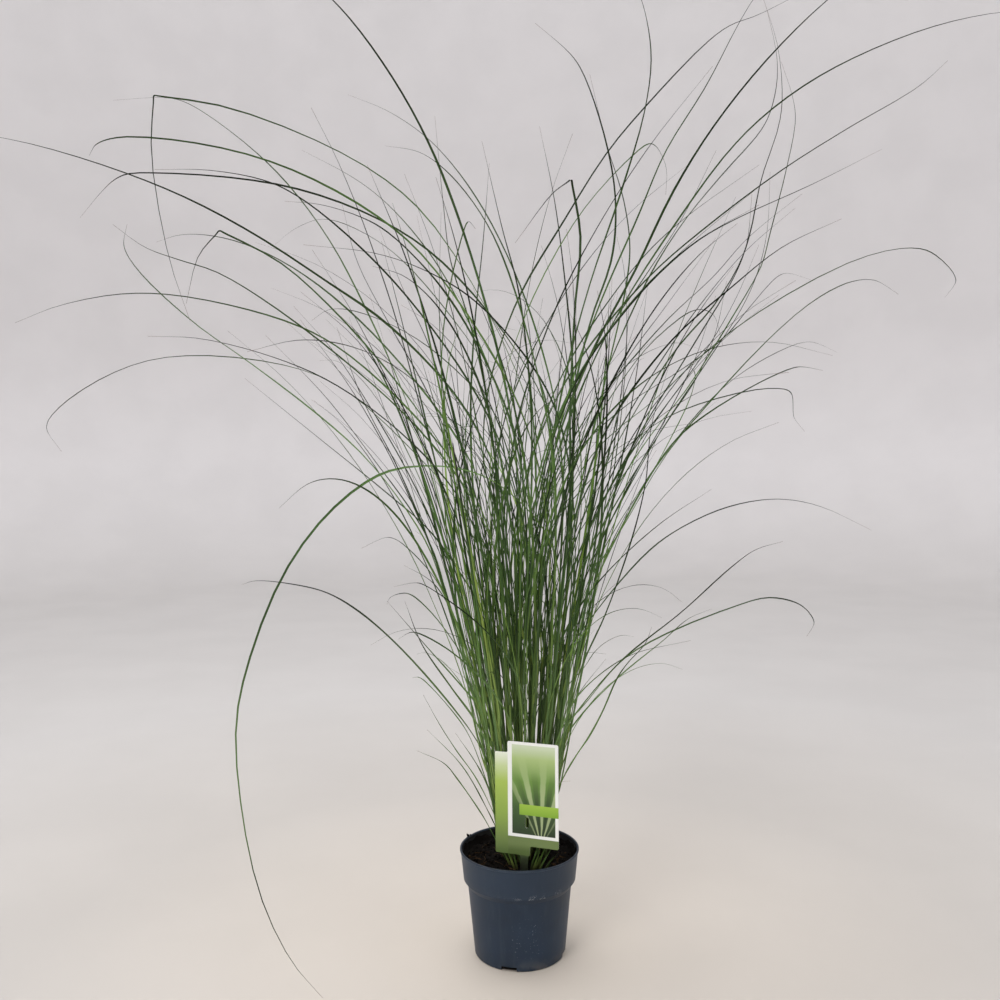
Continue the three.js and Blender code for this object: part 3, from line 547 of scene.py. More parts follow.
soil = {"edgeHeight": 135.5, "mound": 2.5, "moundReach": 45, "lump": 0.75}
label = {
    "width": 91,
    "height": 153,
    "thick": 1.1,
    "columnWidth": 18.5,
    "columnHeight": 137,
    "tabWidth": 50,
    "tabDrop": 9,
    "tabSink": 4.5,
    "corner": 2.5,
    "slotAcross": 46,
    "slotLow": 34,
    "slotHigh": 49,
    "stakeAcross": 41.5,
    "stakeWidth": 11,
    "stakeLength": 72,
    "stakeTip": 9,
    "foot": 164,
    "centre": (9.4, -56),
    "turn": -19.5,
}
crown = {"shoots": 44, "radius": 36, "centre": (8, 6), "edgeLean": 0.17, "frontLeanShare": 0.25}
stem = {"footRadius": 2.8, "topRadius": 1.5, "middle": 0.4, "middleTaper": 0.35, "pastLastLeaf": 12}
blade = {
    "elbowRise": 24,
    "elbowReach": 5,
    "leastAside": 12,
    "guidedSpan": 130,
    "collarShare": 0.55,
    "widestFrom": 0.28,
    "taperPower": 1.8,
    "leastHalfWidth": 0.7,
    "segmentLength": 160,
    "segmentTurn": math.radians(18.5),
    "fewestSegments": 4,
    "mostSegments": 16,
    "finePoints": 8,
    "twistStart": math.radians(25),
    "twistGrowth": math.radians(50),
}
collars = {"lowest": 168, "share": 0.34, "spacing": 24, "tries": 20, "belowCourse": 45}
leavesPerShoot = (3, 4)
filling = {
    "collars": (200, 400),
    "highestCollar": 430,
    "archingShare": 0.4,
    "archingLengths": (620, 820),
    "archingBends": (55, 115),
    "standingLengths": (430, 700),
    "standingBends": (8, 40),
    "turns": (45, 135),
    "straying": 14,
    "widths": (3.6, 5.2),
    "steps": 10,
    "bendPower": 1.6,
    "leanCarried": 1.6,
}
matching = {
    "steepest": 1.2,
    "bendShare": 1 / 3,
    "depthPerOffset": 9,
    "crownShare": 0.9,
    "distance": 9,
    "crowding": 1.3,
}
depthPower = 1.3
settling = {
    "rounds": 150,
    "refresh": 15,
    "reach": 16,
    "clearance": 0.6,
    "ease": 0.5,
    "leastGrip": 0.15,
    "longestMove": 6,
    "leastHeight": 12,
    "labelGap": 2,
    "labelSide": 12,
    "labelTop": 25,
}
eye = np.array(view["eye"])

# Leaves whose course shows: the depth at the tip in cm, the greatest width in mm, and the course
# in cm across and up, as seen from the eye on the upright plane through the pot's axis.
seenLeaves = [
    # arching to the upper left
    [-6, 5.5, [-3.5, 89.5], [-6.5, 99.5], [-10, 110], [-16, 122], [-25, 134], [-36, 142.5]],
    [8, 5, [-2.5, 88.5], [-8, 98], [-13.5, 105.5], [-22, 112], [-35.5, 118], [-46, 121],
     [-50, 121.5], [-50.5, 115.5], [-49.5, 106], [-47.5, 95.5], [-45.5, 90]],
    [14, 3.2, [-20, 89.5], [-25.5, 100.5], [-33, 110.5], [-40, 116.5], [-46.5, 120.5], [-55.5, 120.5]],
    [-12, 4, [-6, 89.5], [-15, 101], [-27, 109], [-39, 113.5], [-54, 115.5], [-58, 114.5], [-59, 113]],
    [2, 4, [-17.5, 89], [-28, 96.5], [-38, 103], [-50, 109], [-66.5, 114.5], [-76, 116.5]],
    [18, 3.6, [-3.5, 90.5], [-14, 101], [-29.5, 108], [-49, 110.5], [-55, 110], [-60.5, 104.5]],
    [-16, 3.6, [-11.5, 88.5], [-20.5, 99], [-32.5, 108.5], [-44, 111], [-50, 111]],
    [10, 3, [-13, 80], [-24, 92], [-33, 98.5], [-40.5, 101.5], [-46.5, 102], [-50, 101]],
    [-6, 3.2, [-15, 79], [-27, 93], [-35.5, 100], [-41, 103], [-43.5, 100.5], [-46, 92.5]],
    [-20, 3.2, [-14, 75], [-26, 86], [-41, 96.5], [-51, 100], [-56, 103.5]],
    [6, 3.6, [-10, 50.5], [-12.5, 58], [-21, 70.5], [-35, 82.5], [-44, 89], [-52.5, 97],
     [-54.5, 100.5], [-54, 103.5]],
    [-10, 3.6, [-12, 74], [-26, 87], [-39, 92], [-53, 94], [-65, 92], [-70, 90]],
    [16, 3.6, [-13, 70], [-26, 81.5], [-40, 85], [-52, 84.5], [-62.5, 79.5], [-66, 75.5], [-64, 72]],
    [-24, 3.2, [-16, 74], [-28, 82.5], [-43.5, 87.5], [-51.5, 88]],
    [26, 4, [2.5, 89.5], [-1, 98.5], [-5.5, 107], [-11.5, 114.5], [-18, 119], [-23, 121]],
    [-30, 3.6, [1, 90], [-3, 101.5], [-8.5, 109.5], [-13, 113], [-18, 114]],
    [22, 3.6, [-7.5, 91.5], [-12.5, 100], [-20, 108], [-29.5, 113.5]],
    [-18, 3.2, [-8, 91], [-12, 96.5], [-19, 103], [-27, 106], [-32, 106.5]],
    [20, 3.2, [-11.5, 93.5], [-18.5, 100.5], [-26.5, 104], [-31, 102.5], [-33.5, 100.5]],
    [-26, 3.6, [-4.5, 91.5], [-11, 96], [-18.5, 99], [-29.5, 100.5]],
    [-14, 2.8, [-12, 86], [-21.5, 91], [-26, 91.5], [-28.5, 90]],
    [24, 3.6, [-6, 88], [-9, 98], [-10, 106.5], [-11, 118]],
    [-22, 3.6, [1, 90], [-0.5, 98.5], [-2.5, 105], [-4.5, 114.5]],
    [28, 3.2, [-6, 86], [-5, 96], [-4, 105], [-3.5, 111.5]],
    [-30, 3.2, [-10, 90], [-8, 99], [-6.5, 103.5], [-5.5, 102.5]],
    [-10, 3.2, [-9, 47], [-11, 55], [-13.5, 61], [-17, 66], [-24, 76], [-30, 83], [-35, 88]],
    [18, 3, [-8, 50], [-11, 59], [-15, 68], [-20, 77], [-25, 85], [-31, 92]],
    [-20, 3, [-8, 44], [-10.5, 53], [-14, 63], [-18, 72], [-22, 80], [-25, 89]],
    [8, 3.2, [-6, 62], [-9, 72], [-13, 81], [-18, 90], [-22, 98], [-24, 106]],
    [-14, 3, [-7, 58], [-11, 68], [-16, 78], [-22, 87], [-30, 94]],
    [22, 3, [-6, 66], [-9, 76], [-12, 86], [-16, 95], [-19, 103]],
    # middle left, down to the long leaf that droops beside the pot
    [12, 4, [-4.5, 27.5], [-7, 32], [-12.5, 39], [-20, 47], [-26.5, 51.5], [-32, 53], [-37, 53.5],
     [-39, 53]],
    [-28, 5.2, [-2, 66.5], [-7.5, 69], [-12.5, 69.5], [-17.5, 69], [-22.5, 66.5], [-28, 61.5],
     [-33, 54.5], [-37, 45.5], [-40, 35], [-40, 25], [-39, 16], [-36.5, 6], [-32, -3], [-28.5, -7]],
    [20, 3.2, [-8.5, 55], [-12, 60], [-18, 65.5], [-29.5, 75], [-38, 82]],
    [-12, 2.6, [-9, 47], [-11, 52.5], [-14.5, 57], [-18, 59.5], [-22, 58]],
    [8, 2.6, [-8.5, 47], [-11.5, 52.5], [-14, 54.5], [-16, 55.5]],
    [-20, 3, [-6, 47.5], [-10.5, 51], [-14, 53], [-17.5, 52.5]],
    [14, 2.6, [-5, 37], [-8.5, 43.5], [-12, 48.5], [-15.5, 51.5], [-18, 51], [-18.5, 50]],
    [-8, 3, [-6, 33], [-9.5, 38], [-13.5, 44], [-16, 50.5]],
    [10, 2.6, [-7, 37], [-11, 41.5], [-15, 46.5], [-18.5, 50.5]],
    [-16, 3, [-5, 39], [-8, 42], [-11.5, 44.5], [-15, 46], [-17, 45]],
    [4, 2.2, [-7, 31], [-10.5, 36], [-14, 39.5], [-15, 39.5]],
    [-10, 2.2, [-4, 22], [-6.5, 25.5], [-10.5, 31.5], [-13.5, 37]],
    [10, 2.6, [-4, 21], [-7.5, 26], [-11.5, 30.5], [-13, 32]],
    [-14, 2.6, [-4.5, 20], [-8.5, 24.5], [-10.5, 27], [-14.5, 29]],
    [-4, 4, [-3.5, 20], [-5, 25], [-6, 27], [-7.5, 29], [-9, 31.5]],
    # upper middle and right
    [-10, 4, [10, 88], [13.5, 98.5], [14, 106.5], [13, 113], [11, 120], [8.5, 125.5], [3, 130.5]],
    [20, 3.6, [14, 88], [16, 98.5], [15, 107], [12.5, 115], [10.5, 123.5]],
    [-20, 4, [9, 90], [12.5, 101], [15, 108], [18, 118], [19, 126], [17.5, 134], [15, 138]],
    [10, 4, [0, 92], [3.5, 98], [13, 113], [21, 122], [29, 129.5], [34, 131.5], [43, 136]],
    [2, 3.6, [11, 90], [16.5, 102.5], [20.5, 112], [27, 122.5], [33, 133.5], [37, 139]],
    [-26, 3.6, [5, 90], [9.5, 99], [14.5, 107.5], [20.5, 116], [27.5, 124.5]],
    [-8, 3.2, [2, 92], [5.5, 98.5], [9.5, 105], [15, 111], [19, 114], [21, 111], [21, 107]],
    [-14, 5.5, [12, 88], [17.5, 98], [23.5, 110], [32.5, 122.5], [43.5, 133.5], [52, 139.5]],
    [6, 4, [14, 90], [19, 98], [29, 112], [35, 118], [44, 124], [57.5, 129.5], [67, 131.5], [74, 132]],
    [22, 2.6, [15, 88], [20, 98], [26, 106.5], [31, 112], [35, 117], [36.5, 124], [35, 132]],
    [-16, 2.8, [15, 74], [22, 85], [28, 92], [32, 99], [34, 108], [37, 118], [36.5, 127],
     [34.5, 133.5]],
    [14, 2.6, [17, 71], [24, 80], [30, 89.5], [34.5, 97.5], [36, 104], [39, 117.5], [37, 125]],
    [-4, 3.6, [19, 96], [26, 102], [40.5, 112.5], [56, 121.5], [60, 125]],
    [18, 3.2, [18, 94], [26, 101], [35, 105.5], [43, 109], [51, 113]],
    [-20, 3.2, [22, 87], [30, 94], [37, 99.5], [45.5, 103.5]],
    [4, 5, [5, 60], [8, 67], [12.5, 73], [20.5, 79.5], [27.5, 86], [34.5, 91], [44.5, 96.5],
     [51.5, 99], [57.5, 99], [61.5, 95], [60, 92.5]],
    [-12, 4, [10.5, 53.5], [14.5, 60], [21.5, 71.5], [27, 78], [34.5, 86], [40, 91], [46, 94.5],
     [50, 95], [53.5, 93]],
    [24, 2.6, [15, 77.5], [20.5, 81], [29, 87], [34.5, 93.5], [37.5, 96], [41.5, 95]],
    [-12, 3.2, [15, 95], [21.5, 102], [29, 107.5], [34, 111]],
    [-18, 3.6, [8, 88], [9, 98], [9, 104], [8, 109.5], [5, 107], [0, 100.5]],
    [26, 3.2, [7.5, 90], [6.5, 98.5], [5.5, 106.5], [3.5, 116.5]],
    [8, 3.6, [16, 92], [22.5, 98.5], [29, 104], [34, 108]],
    [-24, 3.2, [19, 95], [26, 101], [34, 105.5]],
    [28, 3.6, [6, 92], [10.5, 98.5], [16.5, 105], [24, 111]],
    [-8, 3, [10, 76.5], [14, 81.5], [21.5, 90], [27.5, 95.5], [32.5, 101], [40, 107]],
    [16, 3.2, [8, 62], [12, 70], [16, 77], [21, 85], [26, 92], [32, 99], [39, 105]],
    [-14, 3, [9, 58], [13, 66], [18, 75], [23.5, 84], [28.5, 92], [32, 99], [33, 107]],
    [10, 3, [10, 55], [14, 63], [19, 72], [24, 80], [29, 87], [33, 94], [35, 101], [35.5, 110]],
    [-22, 3.2, [7, 66], [11, 76], [15, 84], [20, 92], [26, 99], [31, 103]],
    [20, 2.8, [11, 62], [16, 71], [22, 79], [27, 86], [31, 93], [34, 100]],
    [6, 3.4, [6, 72], [10, 82], [14, 90], [19, 97], [24, 105], [28, 113]],
    [-18, 3, [8, 70], [12.5, 79], [17, 86.5], [23, 94], [28, 101]],
    [12, 3, [9, 52], [12.5, 60], [16.5, 68], [21, 76], [25, 84], [28, 93]],
    [-10, 2.8, [10, 57], [15, 66], [20.5, 74.5], [25, 81], [28, 88], [29.5, 95]],
    # middle right
    [14, 3.2, [13, 59], [18.5, 67.5], [24.5, 75.5], [30, 81], [35.5, 84.5], [41, 86.5], [45, 85]],
    [-18, 3.2, [15, 61], [22, 72.5], [29, 78], [35.5, 81.5], [39.5, 83], [43, 82.5]],
    [8, 3.6, [10, 67], [15.5, 72], [20, 75.5], [27.5, 78.5], [35, 80], [38.5, 79.5], [39, 76],
     [40.5, 74]],
    [-8, 3.2, [11.5, 53], [15.5, 57], [20, 61], [25, 64.5], [27.5, 66]],
    [2, 4.6, [5, 40], [10, 47], [14.5, 53], [20, 58.5], [25, 61.5], [30, 63.5], [36.5, 64.5],
     [42.5, 63.5], [50, 60]],
    [-22, 3.2, [6.5, 31.5], [10, 36.5], [14, 41], [18, 44.5], [25, 50], [33, 57], [37.5, 58.5]],
    [-6, 4.6, [5.5, 31], [10, 36], [14.5, 41.5], [20, 45], [27.5, 48], [35, 50.5], [40, 49.5],
     [42, 47], [41, 45]],
    [16, 3.2, [5, 28], [9, 34], [15, 40], [20, 44], [24, 47.5], [27.5, 49]],
    [-14, 2.2, [8, 36], [12, 40], [16, 42.5], [24.5, 44.5]],
    [6, 2.6, [7, 34], [10, 39], [12.5, 42]],
    [-16, 3.6, [7, 27], [10, 30], [12.5, 35], [14.5, 40], [18, 44], [19, 46.5]],
    [-20, 3.2, [9.5, 42], [12.5, 48.5], [16.5, 60], [18, 66], [19, 75], [21.5, 83.5]],
    [18, 2.8, [12, 55], [16, 63], [20, 70], [24.5, 79], [25, 82.5], [23.5, 83.5]],
    [-14, 2.8, [10, 74], [14, 80], [18, 85.5], [25, 91], [27.5, 90.5], [29, 86]],
    [24, 2.4, [10, 76], [14, 82], [18, 85], [22.5, 86.5], [26, 85.5]],
]


def soilHeight(x, y):
    fromClump = np.hypot(x - crown["centre"][0], y - crown["centre"][1])
    rise = soil["mound"] * np.exp(-((fromClump / soil["moundReach"]) ** 2))
    lumps = np.sin(x * 0.21 + 1.3) * np.cos(y * 0.17) + 0.6 * np.sin(x * 0.13 - y * 0.27)
    return soil["edgeHeight"] + rise + soil["lump"] * lumps


def makeShoots():
    shoots = []
    for i in range(crown["shoots"]):
        reach = crown["radius"] * math.sqrt((i + 0.5) / crown["shoots"])
        offset = (reach * math.cos(i * goldenTurn), reach * math.sin(i * goldenTurn))
        lean = [value * crown["edgeLean"] / crown["radius"] for value in offset]
        if lean[1] < 0:
            lean[1] *= crown["frontLeanShare"]
        foot = (crown["centre"][0] + offset[0], crown["centre"][1] + offset[1])
        level = float(soilHeight(*foot))
        shoots.append({"offset": offset, "foot": foot, "lean": lean, "level": level, "leaves": []})
    return shoots


def stemPoint(shoot, height):
    rise = height - shoot["level"]
    return np.array([shoot["foot"][i] + shoot["lean"][i] * rise for i in (0, 1)] + [height])


def freeCollar(shoot, wished, highest):
    for step in range(collars["tries"]):
        height = wished + math.ceil(step / 2) * collars["spacing"] * (1 if step % 2 else -1)
        taken = any(abs(leaf["collar"] - height) < collars["spacing"] for leaf in shoot["leaves"])
        if collars["lowest"] <= height <= highest and not taken:
            return height
    return wished


def idealOffset(course, depth, collar):
    (x1, z1), (x2, z2) = course[:2]
    slope = limit((x2 - x1) / (z2 - z1), -matching["steepest"], matching["steepest"])
    rise = z1 - collar
    x = x1 - crown["centre"][0] - rise * slope * matching["bendShare"]
    leaning = collar - soil["edgeHeight"] + rise * (1 - matching["bendShare"])
    reach = crown["radius"] * matching["crownShare"]
    across = limit(x / (1 + crown["edgeLean"] / crown["radius"] * leaning), -reach, reach)
    return across, limit(depth / matching["depthPerOffset"], -reach, reach)


def growSeenLeaves(shoots):
    for number, (depthCm, width, *courseCm) in enumerate(seenLeaves):
        course = [(x * cm, z * cm) for x, z in courseCm]
        depth = depthCm * cm
        wished = collars["lowest"] + max(0, course[0][1] - collars["lowest"]) * collars["share"]
        ideal = idealOffset(course, depth, wished)

        def cost(shoot):
            away = math.hypot(shoot["offset"][0] - ideal[0], shoot["offset"][1] - ideal[1])
            return away / matching["distance"] + len(shoot["leaves"]) * matching["crowding"]

        shoot = min(shoots, key=cost)
        highest = max(collars["lowest"], course[0][1] - collars["belowCourse"])
        collar = freeCollar(shoot, wished, highest)
        start = stemPoint(shoot, collar)
        befores = [(start[0], start[2]), *course[:-1]]
        steps = [math.hypot(x - px, z - pz) for (x, z), (px, pz) in zip(course, befores)]
        alongs = np.cumsum(steps)
        points = []
        for (x, z), along in zip(course, alongs):
            away = between(start[1], depth, (along / alongs[-1]) ** depthPower)
            points.append(eye + (np.array([x, 0, z]) - eye) * (1 - away / eye[1]))
        shoot["leaves"].append({"collar": collar, "width": width, "points": points, "seen": number})


def archedPoints(shoot, collar, length, bend, turn, steps):
    here = stemPoint(shoot, collar + blade["elbowRise"])
    points = []
    for i in range(1, steps + 1):
        tilt = bend * (i / steps) ** filling["bendPower"]
        kept = math.cos(tilt) * filling["leanCarried"]
        x = math.sin(tilt) * math.cos(turn) + shoot["lean"][0] * kept
        y = math.sin(tilt) * math.sin(turn) + shoot["lean"][1] * kept
        step = np.array([x, y, math.cos(tilt)])
        here = here + step / np.linalg.norm(step) * length / steps
        points.append(here)
    return points[1:]


def growFillingLeaves(shoots):
    for number, shoot in enumerate(shoots):
        while len(shoot["leaves"]) < leavesPerShoot[number % 2]:
            seed = number * 31 + len(shoot["leaves"]) * 7
            wished = between(*filling["collars"], draw(seed))
            collar = freeCollar(shoot, wished, filling["highestCollar"])
            kind = "arching" if draw(seed + 1) < filling["archingShare"] else "standing"
            length = between(*filling[kind + "Lengths"], draw(seed + 2))
            bend = math.radians(between(*filling[kind + "Bends"], draw(seed + 3)))
            stray = between(-filling["straying"], filling["straying"], draw(seed + 4))
            side = 1 if shoot["offset"][1] + stray > 0 else -1
            turn = side * math.radians(between(*filling["turns"], draw(seed + 5)))
            width = between(*filling["widths"], draw(seed + 6))
            points = archedPoints(shoot, collar, length, bend, turn, filling["steps"])
            shoot["leaves"].append({"collar": collar, "width": width, "points": points, "seen": None})


# A smooth line through points: the centripetal spline, at numbers that count the points from 0.
def curveAt(points, places):
    points = np.asarray(points, float)
    first = 2 * points[0] - points[1]
    last = 2 * points[-1] - points[-2]
    padded = np.vstack([first, points, last])
    spans = np.minimum(np.floor(places).astype(int), len(points) - 2)
    share = (places - spans)[:, None]
    p0, p1, p2, p3 = (padded[spans + i] for i in range(4))
    pairs = ((p0, p1), (p1, p2), (p2, p3))
    d0, d1, d2 = (np.sqrt(np.linalg.norm(b - a, axis=1))[:, None] for a, b in pairs)
    t1 = ((p1 - p0) / d0 - (p2 - p0) / (d0 + d1) + (p2 - p1) / d1) * d1
    t2 = ((p2 - p1) / d1 - (p3 - p1) / (d1 + d2) + (p3 - p2) / d2) * d1
    return (p1 + t1 * share + (3 * (p2 - p1) - 2 * t1 - t2) * share**2
            + (2 * (p1 - p2) + t1 + t2) * share**3)


def leafLine(shoot, leaf, number):
    collar = stemPoint(shoot, leaf["collar"])
    elbow = stemPoint(shoot, leaf["collar"] + blade["elbowRise"])
    first, second = leaf["points"][:2]
    aside = first - stemPoint(shoot, first[2])
    aside[2] = 0
    if np.linalg.norm(aside) < blade["leastAside"]:
        aside = np.array([math.cos(number * goldenTurn), math.sin(number * goldenTurn), 0])
    elbow = elbow + aside / np.linalg.norm(aside) * blade["elbowReach"]
    guides = []
    span = np.linalg.norm(first - elbow)
    if span > blade["guidedSpan"]:
        leaving = np.array([*shoot["lean"], 1])
        leaving = leaving / np.linalg.norm(leaving) * span
        arriving = (second - first) / np.linalg.norm(second - first) * span
        for share in (1 / 3, 2 / 3):
            s2, s3 = share**2, share**3
            point = elbow * (2 * s3 - 3 * s2 + 1) + leaving * (s3 - 2 * s2 + share)
            guides.append(point + first * (3 * s2 - 2 * s3) + arriving * (s3 - s2))
    points = [elbow, *guides, *leaf["points"]]
    spans = len(points) - 1
    return collar, curveAt(points, np.linspace(0, spans, spans * blade["finePoints"] + 1))


def knotsOn(fine):
    steps = np.diff(fine, axis=0)
    lengths = np.linalg.norm(steps, axis=1)
    ahead = steps / lengths[:, None]
    turned = np.arccos(np.clip((ahead[1:] * ahead[:-1]).sum(1), -1, 1))
    grown = lengths / blade["segmentLength"] + np.concatenate([[0], turned]) / blade["segmentTurn"]
    measure = np.concatenate([[0], np.cumsum(grown)])
    count = limit(math.floor(measure[-1] + 0.5), blade["fewestSegments"], blade["mostSegments"])
    wanted = measure[-1] * np.arange(count + 1) / count
    return np.stack([np.interp(wanted, measure, fine[:, axis]) for axis in range(3)], axis=1)


def halfWidth(width, share, least, taperPower):
    opened = smoothShare(share, 0, blade["widestFrom"])
    taper = 1 - np.asarray(share) ** taperPower
    return np.maximum(least, width / 2 * between(blade["collarShare"], 1, opened) * taper)


def makeStrand(shoots, index, leaf, number, loose):
    collar, fine = leafLine(shoots[index], leaf, number + index)
    knots = np.vstack([collar, knotsOn(fine)])
    shares = np.arange(len(knots)) / (len(knots) - 1)
    free = np.where(np.arange(len(knots)) < 2, 0.0, 1.0)
    least = thin["leastRadius"] if loose else blade["leastHalfWidth"]
    radii = halfWidth(leaf["width"], shares, least, blade["taperPower"])
    return {"index": index, "stem": False, "leaf": leaf, "knots": knots, "radii": radii, "free": free}


def makeStrands(shoots):
    strands = []
    for index, shoot in enumerate(shoots):
        top = max(leaf["collar"] for leaf in shoot["leaves"]) + stem["pastLastLeaf"]
        heights = (shoot["level"], between(shoot["level"], top, stem["middle"]), top)
        middleRadius = between(stem["footRadius"], stem["topRadius"], stem["middleTaper"])
        radii = np.array([stem["footRadius"], middleRadius, stem["topRadius"]])
        knots = np.array([stemPoint(shoot, height) for height in heights])
        strands.append({"index": index, "stem": True, "knots": knots, "radii": radii, "free": np.zeros(3)})
        for number, leaf in enumerate(shoot["leaves"]):
            strands.append(makeStrand(shoots, index, leaf, number, False))
    return strands


def nearPairs(knots, stretches):
    low = np.minimum(knots[stretches["start"]], knots[stretches["start"] + 1]) - settling["reach"] / 2
    high = np.maximum(knots[stretches["start"]], knots[stretches["start"] + 1]) + settling["reach"] / 2
    first, second = [], []
    for a in range(len(low)):
        rest = slice(a + 1, None)
        meets = ((low[a] <= high[rest]) & (high[a] >= low[rest])).all(1)
        meets &= stretches["strand"][rest] != stretches["strand"][a]
        meets &= ~(stretches["stem"][rest] & stretches["stem"][a])
        joined = (stretches["index"][rest] == stretches["index"][a]) & (stretches["i"][rest] <= 2)
        meets &= ~(joined & (stretches["i"][a] <= 2))
        found = np.nonzero(meets)[0] + a + 1
        first.append(np.full(len(found), a))
        second.append(found)
    return np.concatenate(first), np.concatenate(second)


def nearestShares(a0, a1, b0, b1):
    u, v, w = a1 - a0, b1 - b0, a0 - b0
    uu, uv, vv, uw, vw = ((p * q).sum(1) for p, q in ((u, u), (u, v), (v, v), (u, w), (v, w)))
    flatness = uu * vv - uv * uv
    apart = flatness > 1e-9 * uu * vv
    s = np.where(apart, np.clip((uv * vw - vv * uw) / np.where(apart, flatness, 1), 0, 1), 0.5)
    t = np.clip((uv * s + vw) / vv, 0, 1)
    return np.clip((uv * t - uw) / uu, 0, 1), t


def keepOffLabel(points, radii):
    turn = math.radians(label["turn"])
    dx, dy = points[:, 0] - label["centre"][0], points[:, 1] - label["centre"][1]
    across = dx * math.cos(turn) + dy * math.sin(turn)
    behind = dy * math.cos(turn) - dx * math.sin(turn)
    wanted = radii + label["thick"] / 2 + settling["labelGap"]
    near = points[:, 2] <= label["foot"] + label["height"] + settling["labelTop"]
    near &= (np.abs(across) <= label["width"] / 2 + settling["labelSide"]) & (behind <= wanted)
    push = np.where(near, wanted - behind, 0)
    points[:, 0] -= push * math.sin(turn)
    points[:, 1] += push * math.cos(turn)


# Bends the leaves clear of each other, of the stems, of the label and of the ground.
def bendClear(strands, rounds):
    counts = [len(strand["knots"]) for strand in strands]
    ends = np.cumsum(counts)
    knots = np.vstack([strand["knots"] for strand in strands])
    radii = np.concatenate([strand["radii"] for strand in strands])
    free = np.concatenate([strand["free"] for strand in strands])
    rows = [(end - count + i, number, i, strand["stem"], strand["index"])
            for number, (strand, count, end) in enumerate(zip(strands, counts, ends))
            for i in range(count - 1)]
    names = ("start", "strand", "i", "stem", "index")
    stretches = {name: np.array(column) for name, column in zip(names, zip(*rows))}
    loose = free > 0
    for turn in range(rounds):
        if turn % settling["refresh"] == 0:
            first, second = nearPairs(knots, stretches)
            a, b = stretches["start"][first], stretches["start"][second]
        s, t = nearestShares(knots[a], knots[a + 1], knots[b], knots[b + 1])
        nearA = between(knots[a], knots[a + 1], s[:, None])
        nearB = between(knots[b], knots[b + 1], t[:, None])
        apart = nearA - nearB
        gap = np.linalg.norm(apart, axis=1)
        short = between(radii[a], radii[a + 1], s) + between(radii[b], radii[b + 1], t)
        short = np.maximum(0, short + settling["clearance"] - gap)
        weights = [(1 - s) * free[a], s * free[a + 1], (1 - t) * free[b], t * free[b + 1]]
        grip = np.maximum(sum(weight**2 for weight in weights), settling["leastGrip"])
        push = apart * (settling["ease"] * short / grip / gap)[:, None]
        moves = np.zeros_like(knots)
        for place, weight, sign in zip((a, a + 1, b, b + 1), weights, (1, 1, -1, -1)):
            np.add.at(moves, place, sign * push * weight[:, None])
        size = np.linalg.norm(moves, axis=1)
        moves *= np.minimum(1, settling["longestMove"] / np.maximum(size, 1e-12))[:, None]
        moved = knots[loose] + moves[loose]
        keepOffLabel(moved, radii[loose])
        moved[:, 2] = np.maximum(moved[:, 2], settling["leastHeight"])
        knots[loose] = moved
    for strand, count, end in zip(strands, counts, ends):
        strand["knots"] = knots[end - count:end].copy()


shoots = makeShoots()
growSeenLeaves(shoots)
growFillingLeaves(shoots)
strands = makeStrands(shoots)
bendClear(strands, settling["rounds"])
print("leaf courses grown:", len(strands), "strands")

# Thin leaves that the frame is too coarse for

# Collars are the heights where a leaf leaves its stem, and bends and turns are in degrees.
thinKinds = {
    "spear": {
        "perShoot": 1, "lengths": (110, 300), "bends": (0, 14), "widths": (2.6, 3.8),
        "collars": (0, 0), "turns": (0, 360), "tones": (0.45, 0.8), "rolled": 1,
    },
    "upright": {
        "perShoot": 0.75, "lengths": (330, 760), "bends": (4, 42), "widths": (2, 3.4),
        "collars": (170, 390), "turns": (0, 360), "tones": (0.1, 0.85), "rolled": 0.15,
    },
    "wisp": {
        "perShoot": 0.8, "lengths": (160, 380), "bends": (50, 135), "widths": (1.4, 2.2),
        "collars": (170, 330), "turns": (0, 360), "tones": (0.2, 0.7), "rolled": 0.2,
    },
    "arching": {
        "perShoot": 0.5, "lengths": (620, 860), "bends": (50, 100), "widths": (1.8, 2.8),
        "collars": (220, 420), "turns": (40, 140), "tones": (0, 0.5), "rolled": 0.1,
    },
    "reaching": {
        "perShoot": 0.8, "lengths": (540, 800), "bends": (38, 85), "widths": (2, 3),
        "collars": (200, 400), "turns": (-75, 255), "tones": (0, 0.6), "rolled": 0.1,
    },
    "crossing": {
        "perShoot": 0.6, "lengths": (300, 560), "bends": (20, 42), "widths": (2.8, 4.2),
        "collars": (180, 320), "turns": (-45, 45), "tones": (0.3, 0.8), "rolled": 0.1,
    },
    "dry": {
        "perShoot": 0.25, "lengths": (60, 130), "bends": (15, 85), "widths": (1.8, 3),
        "collars": (150, 175), "turns": (0, 360), "tones": (0.6, 1), "rolled": 0.5,
    },
}
thin = {"leastRadius": 0.3, "rounds": 60, "spearRise": 14, "steps": 9, "seed": 700}


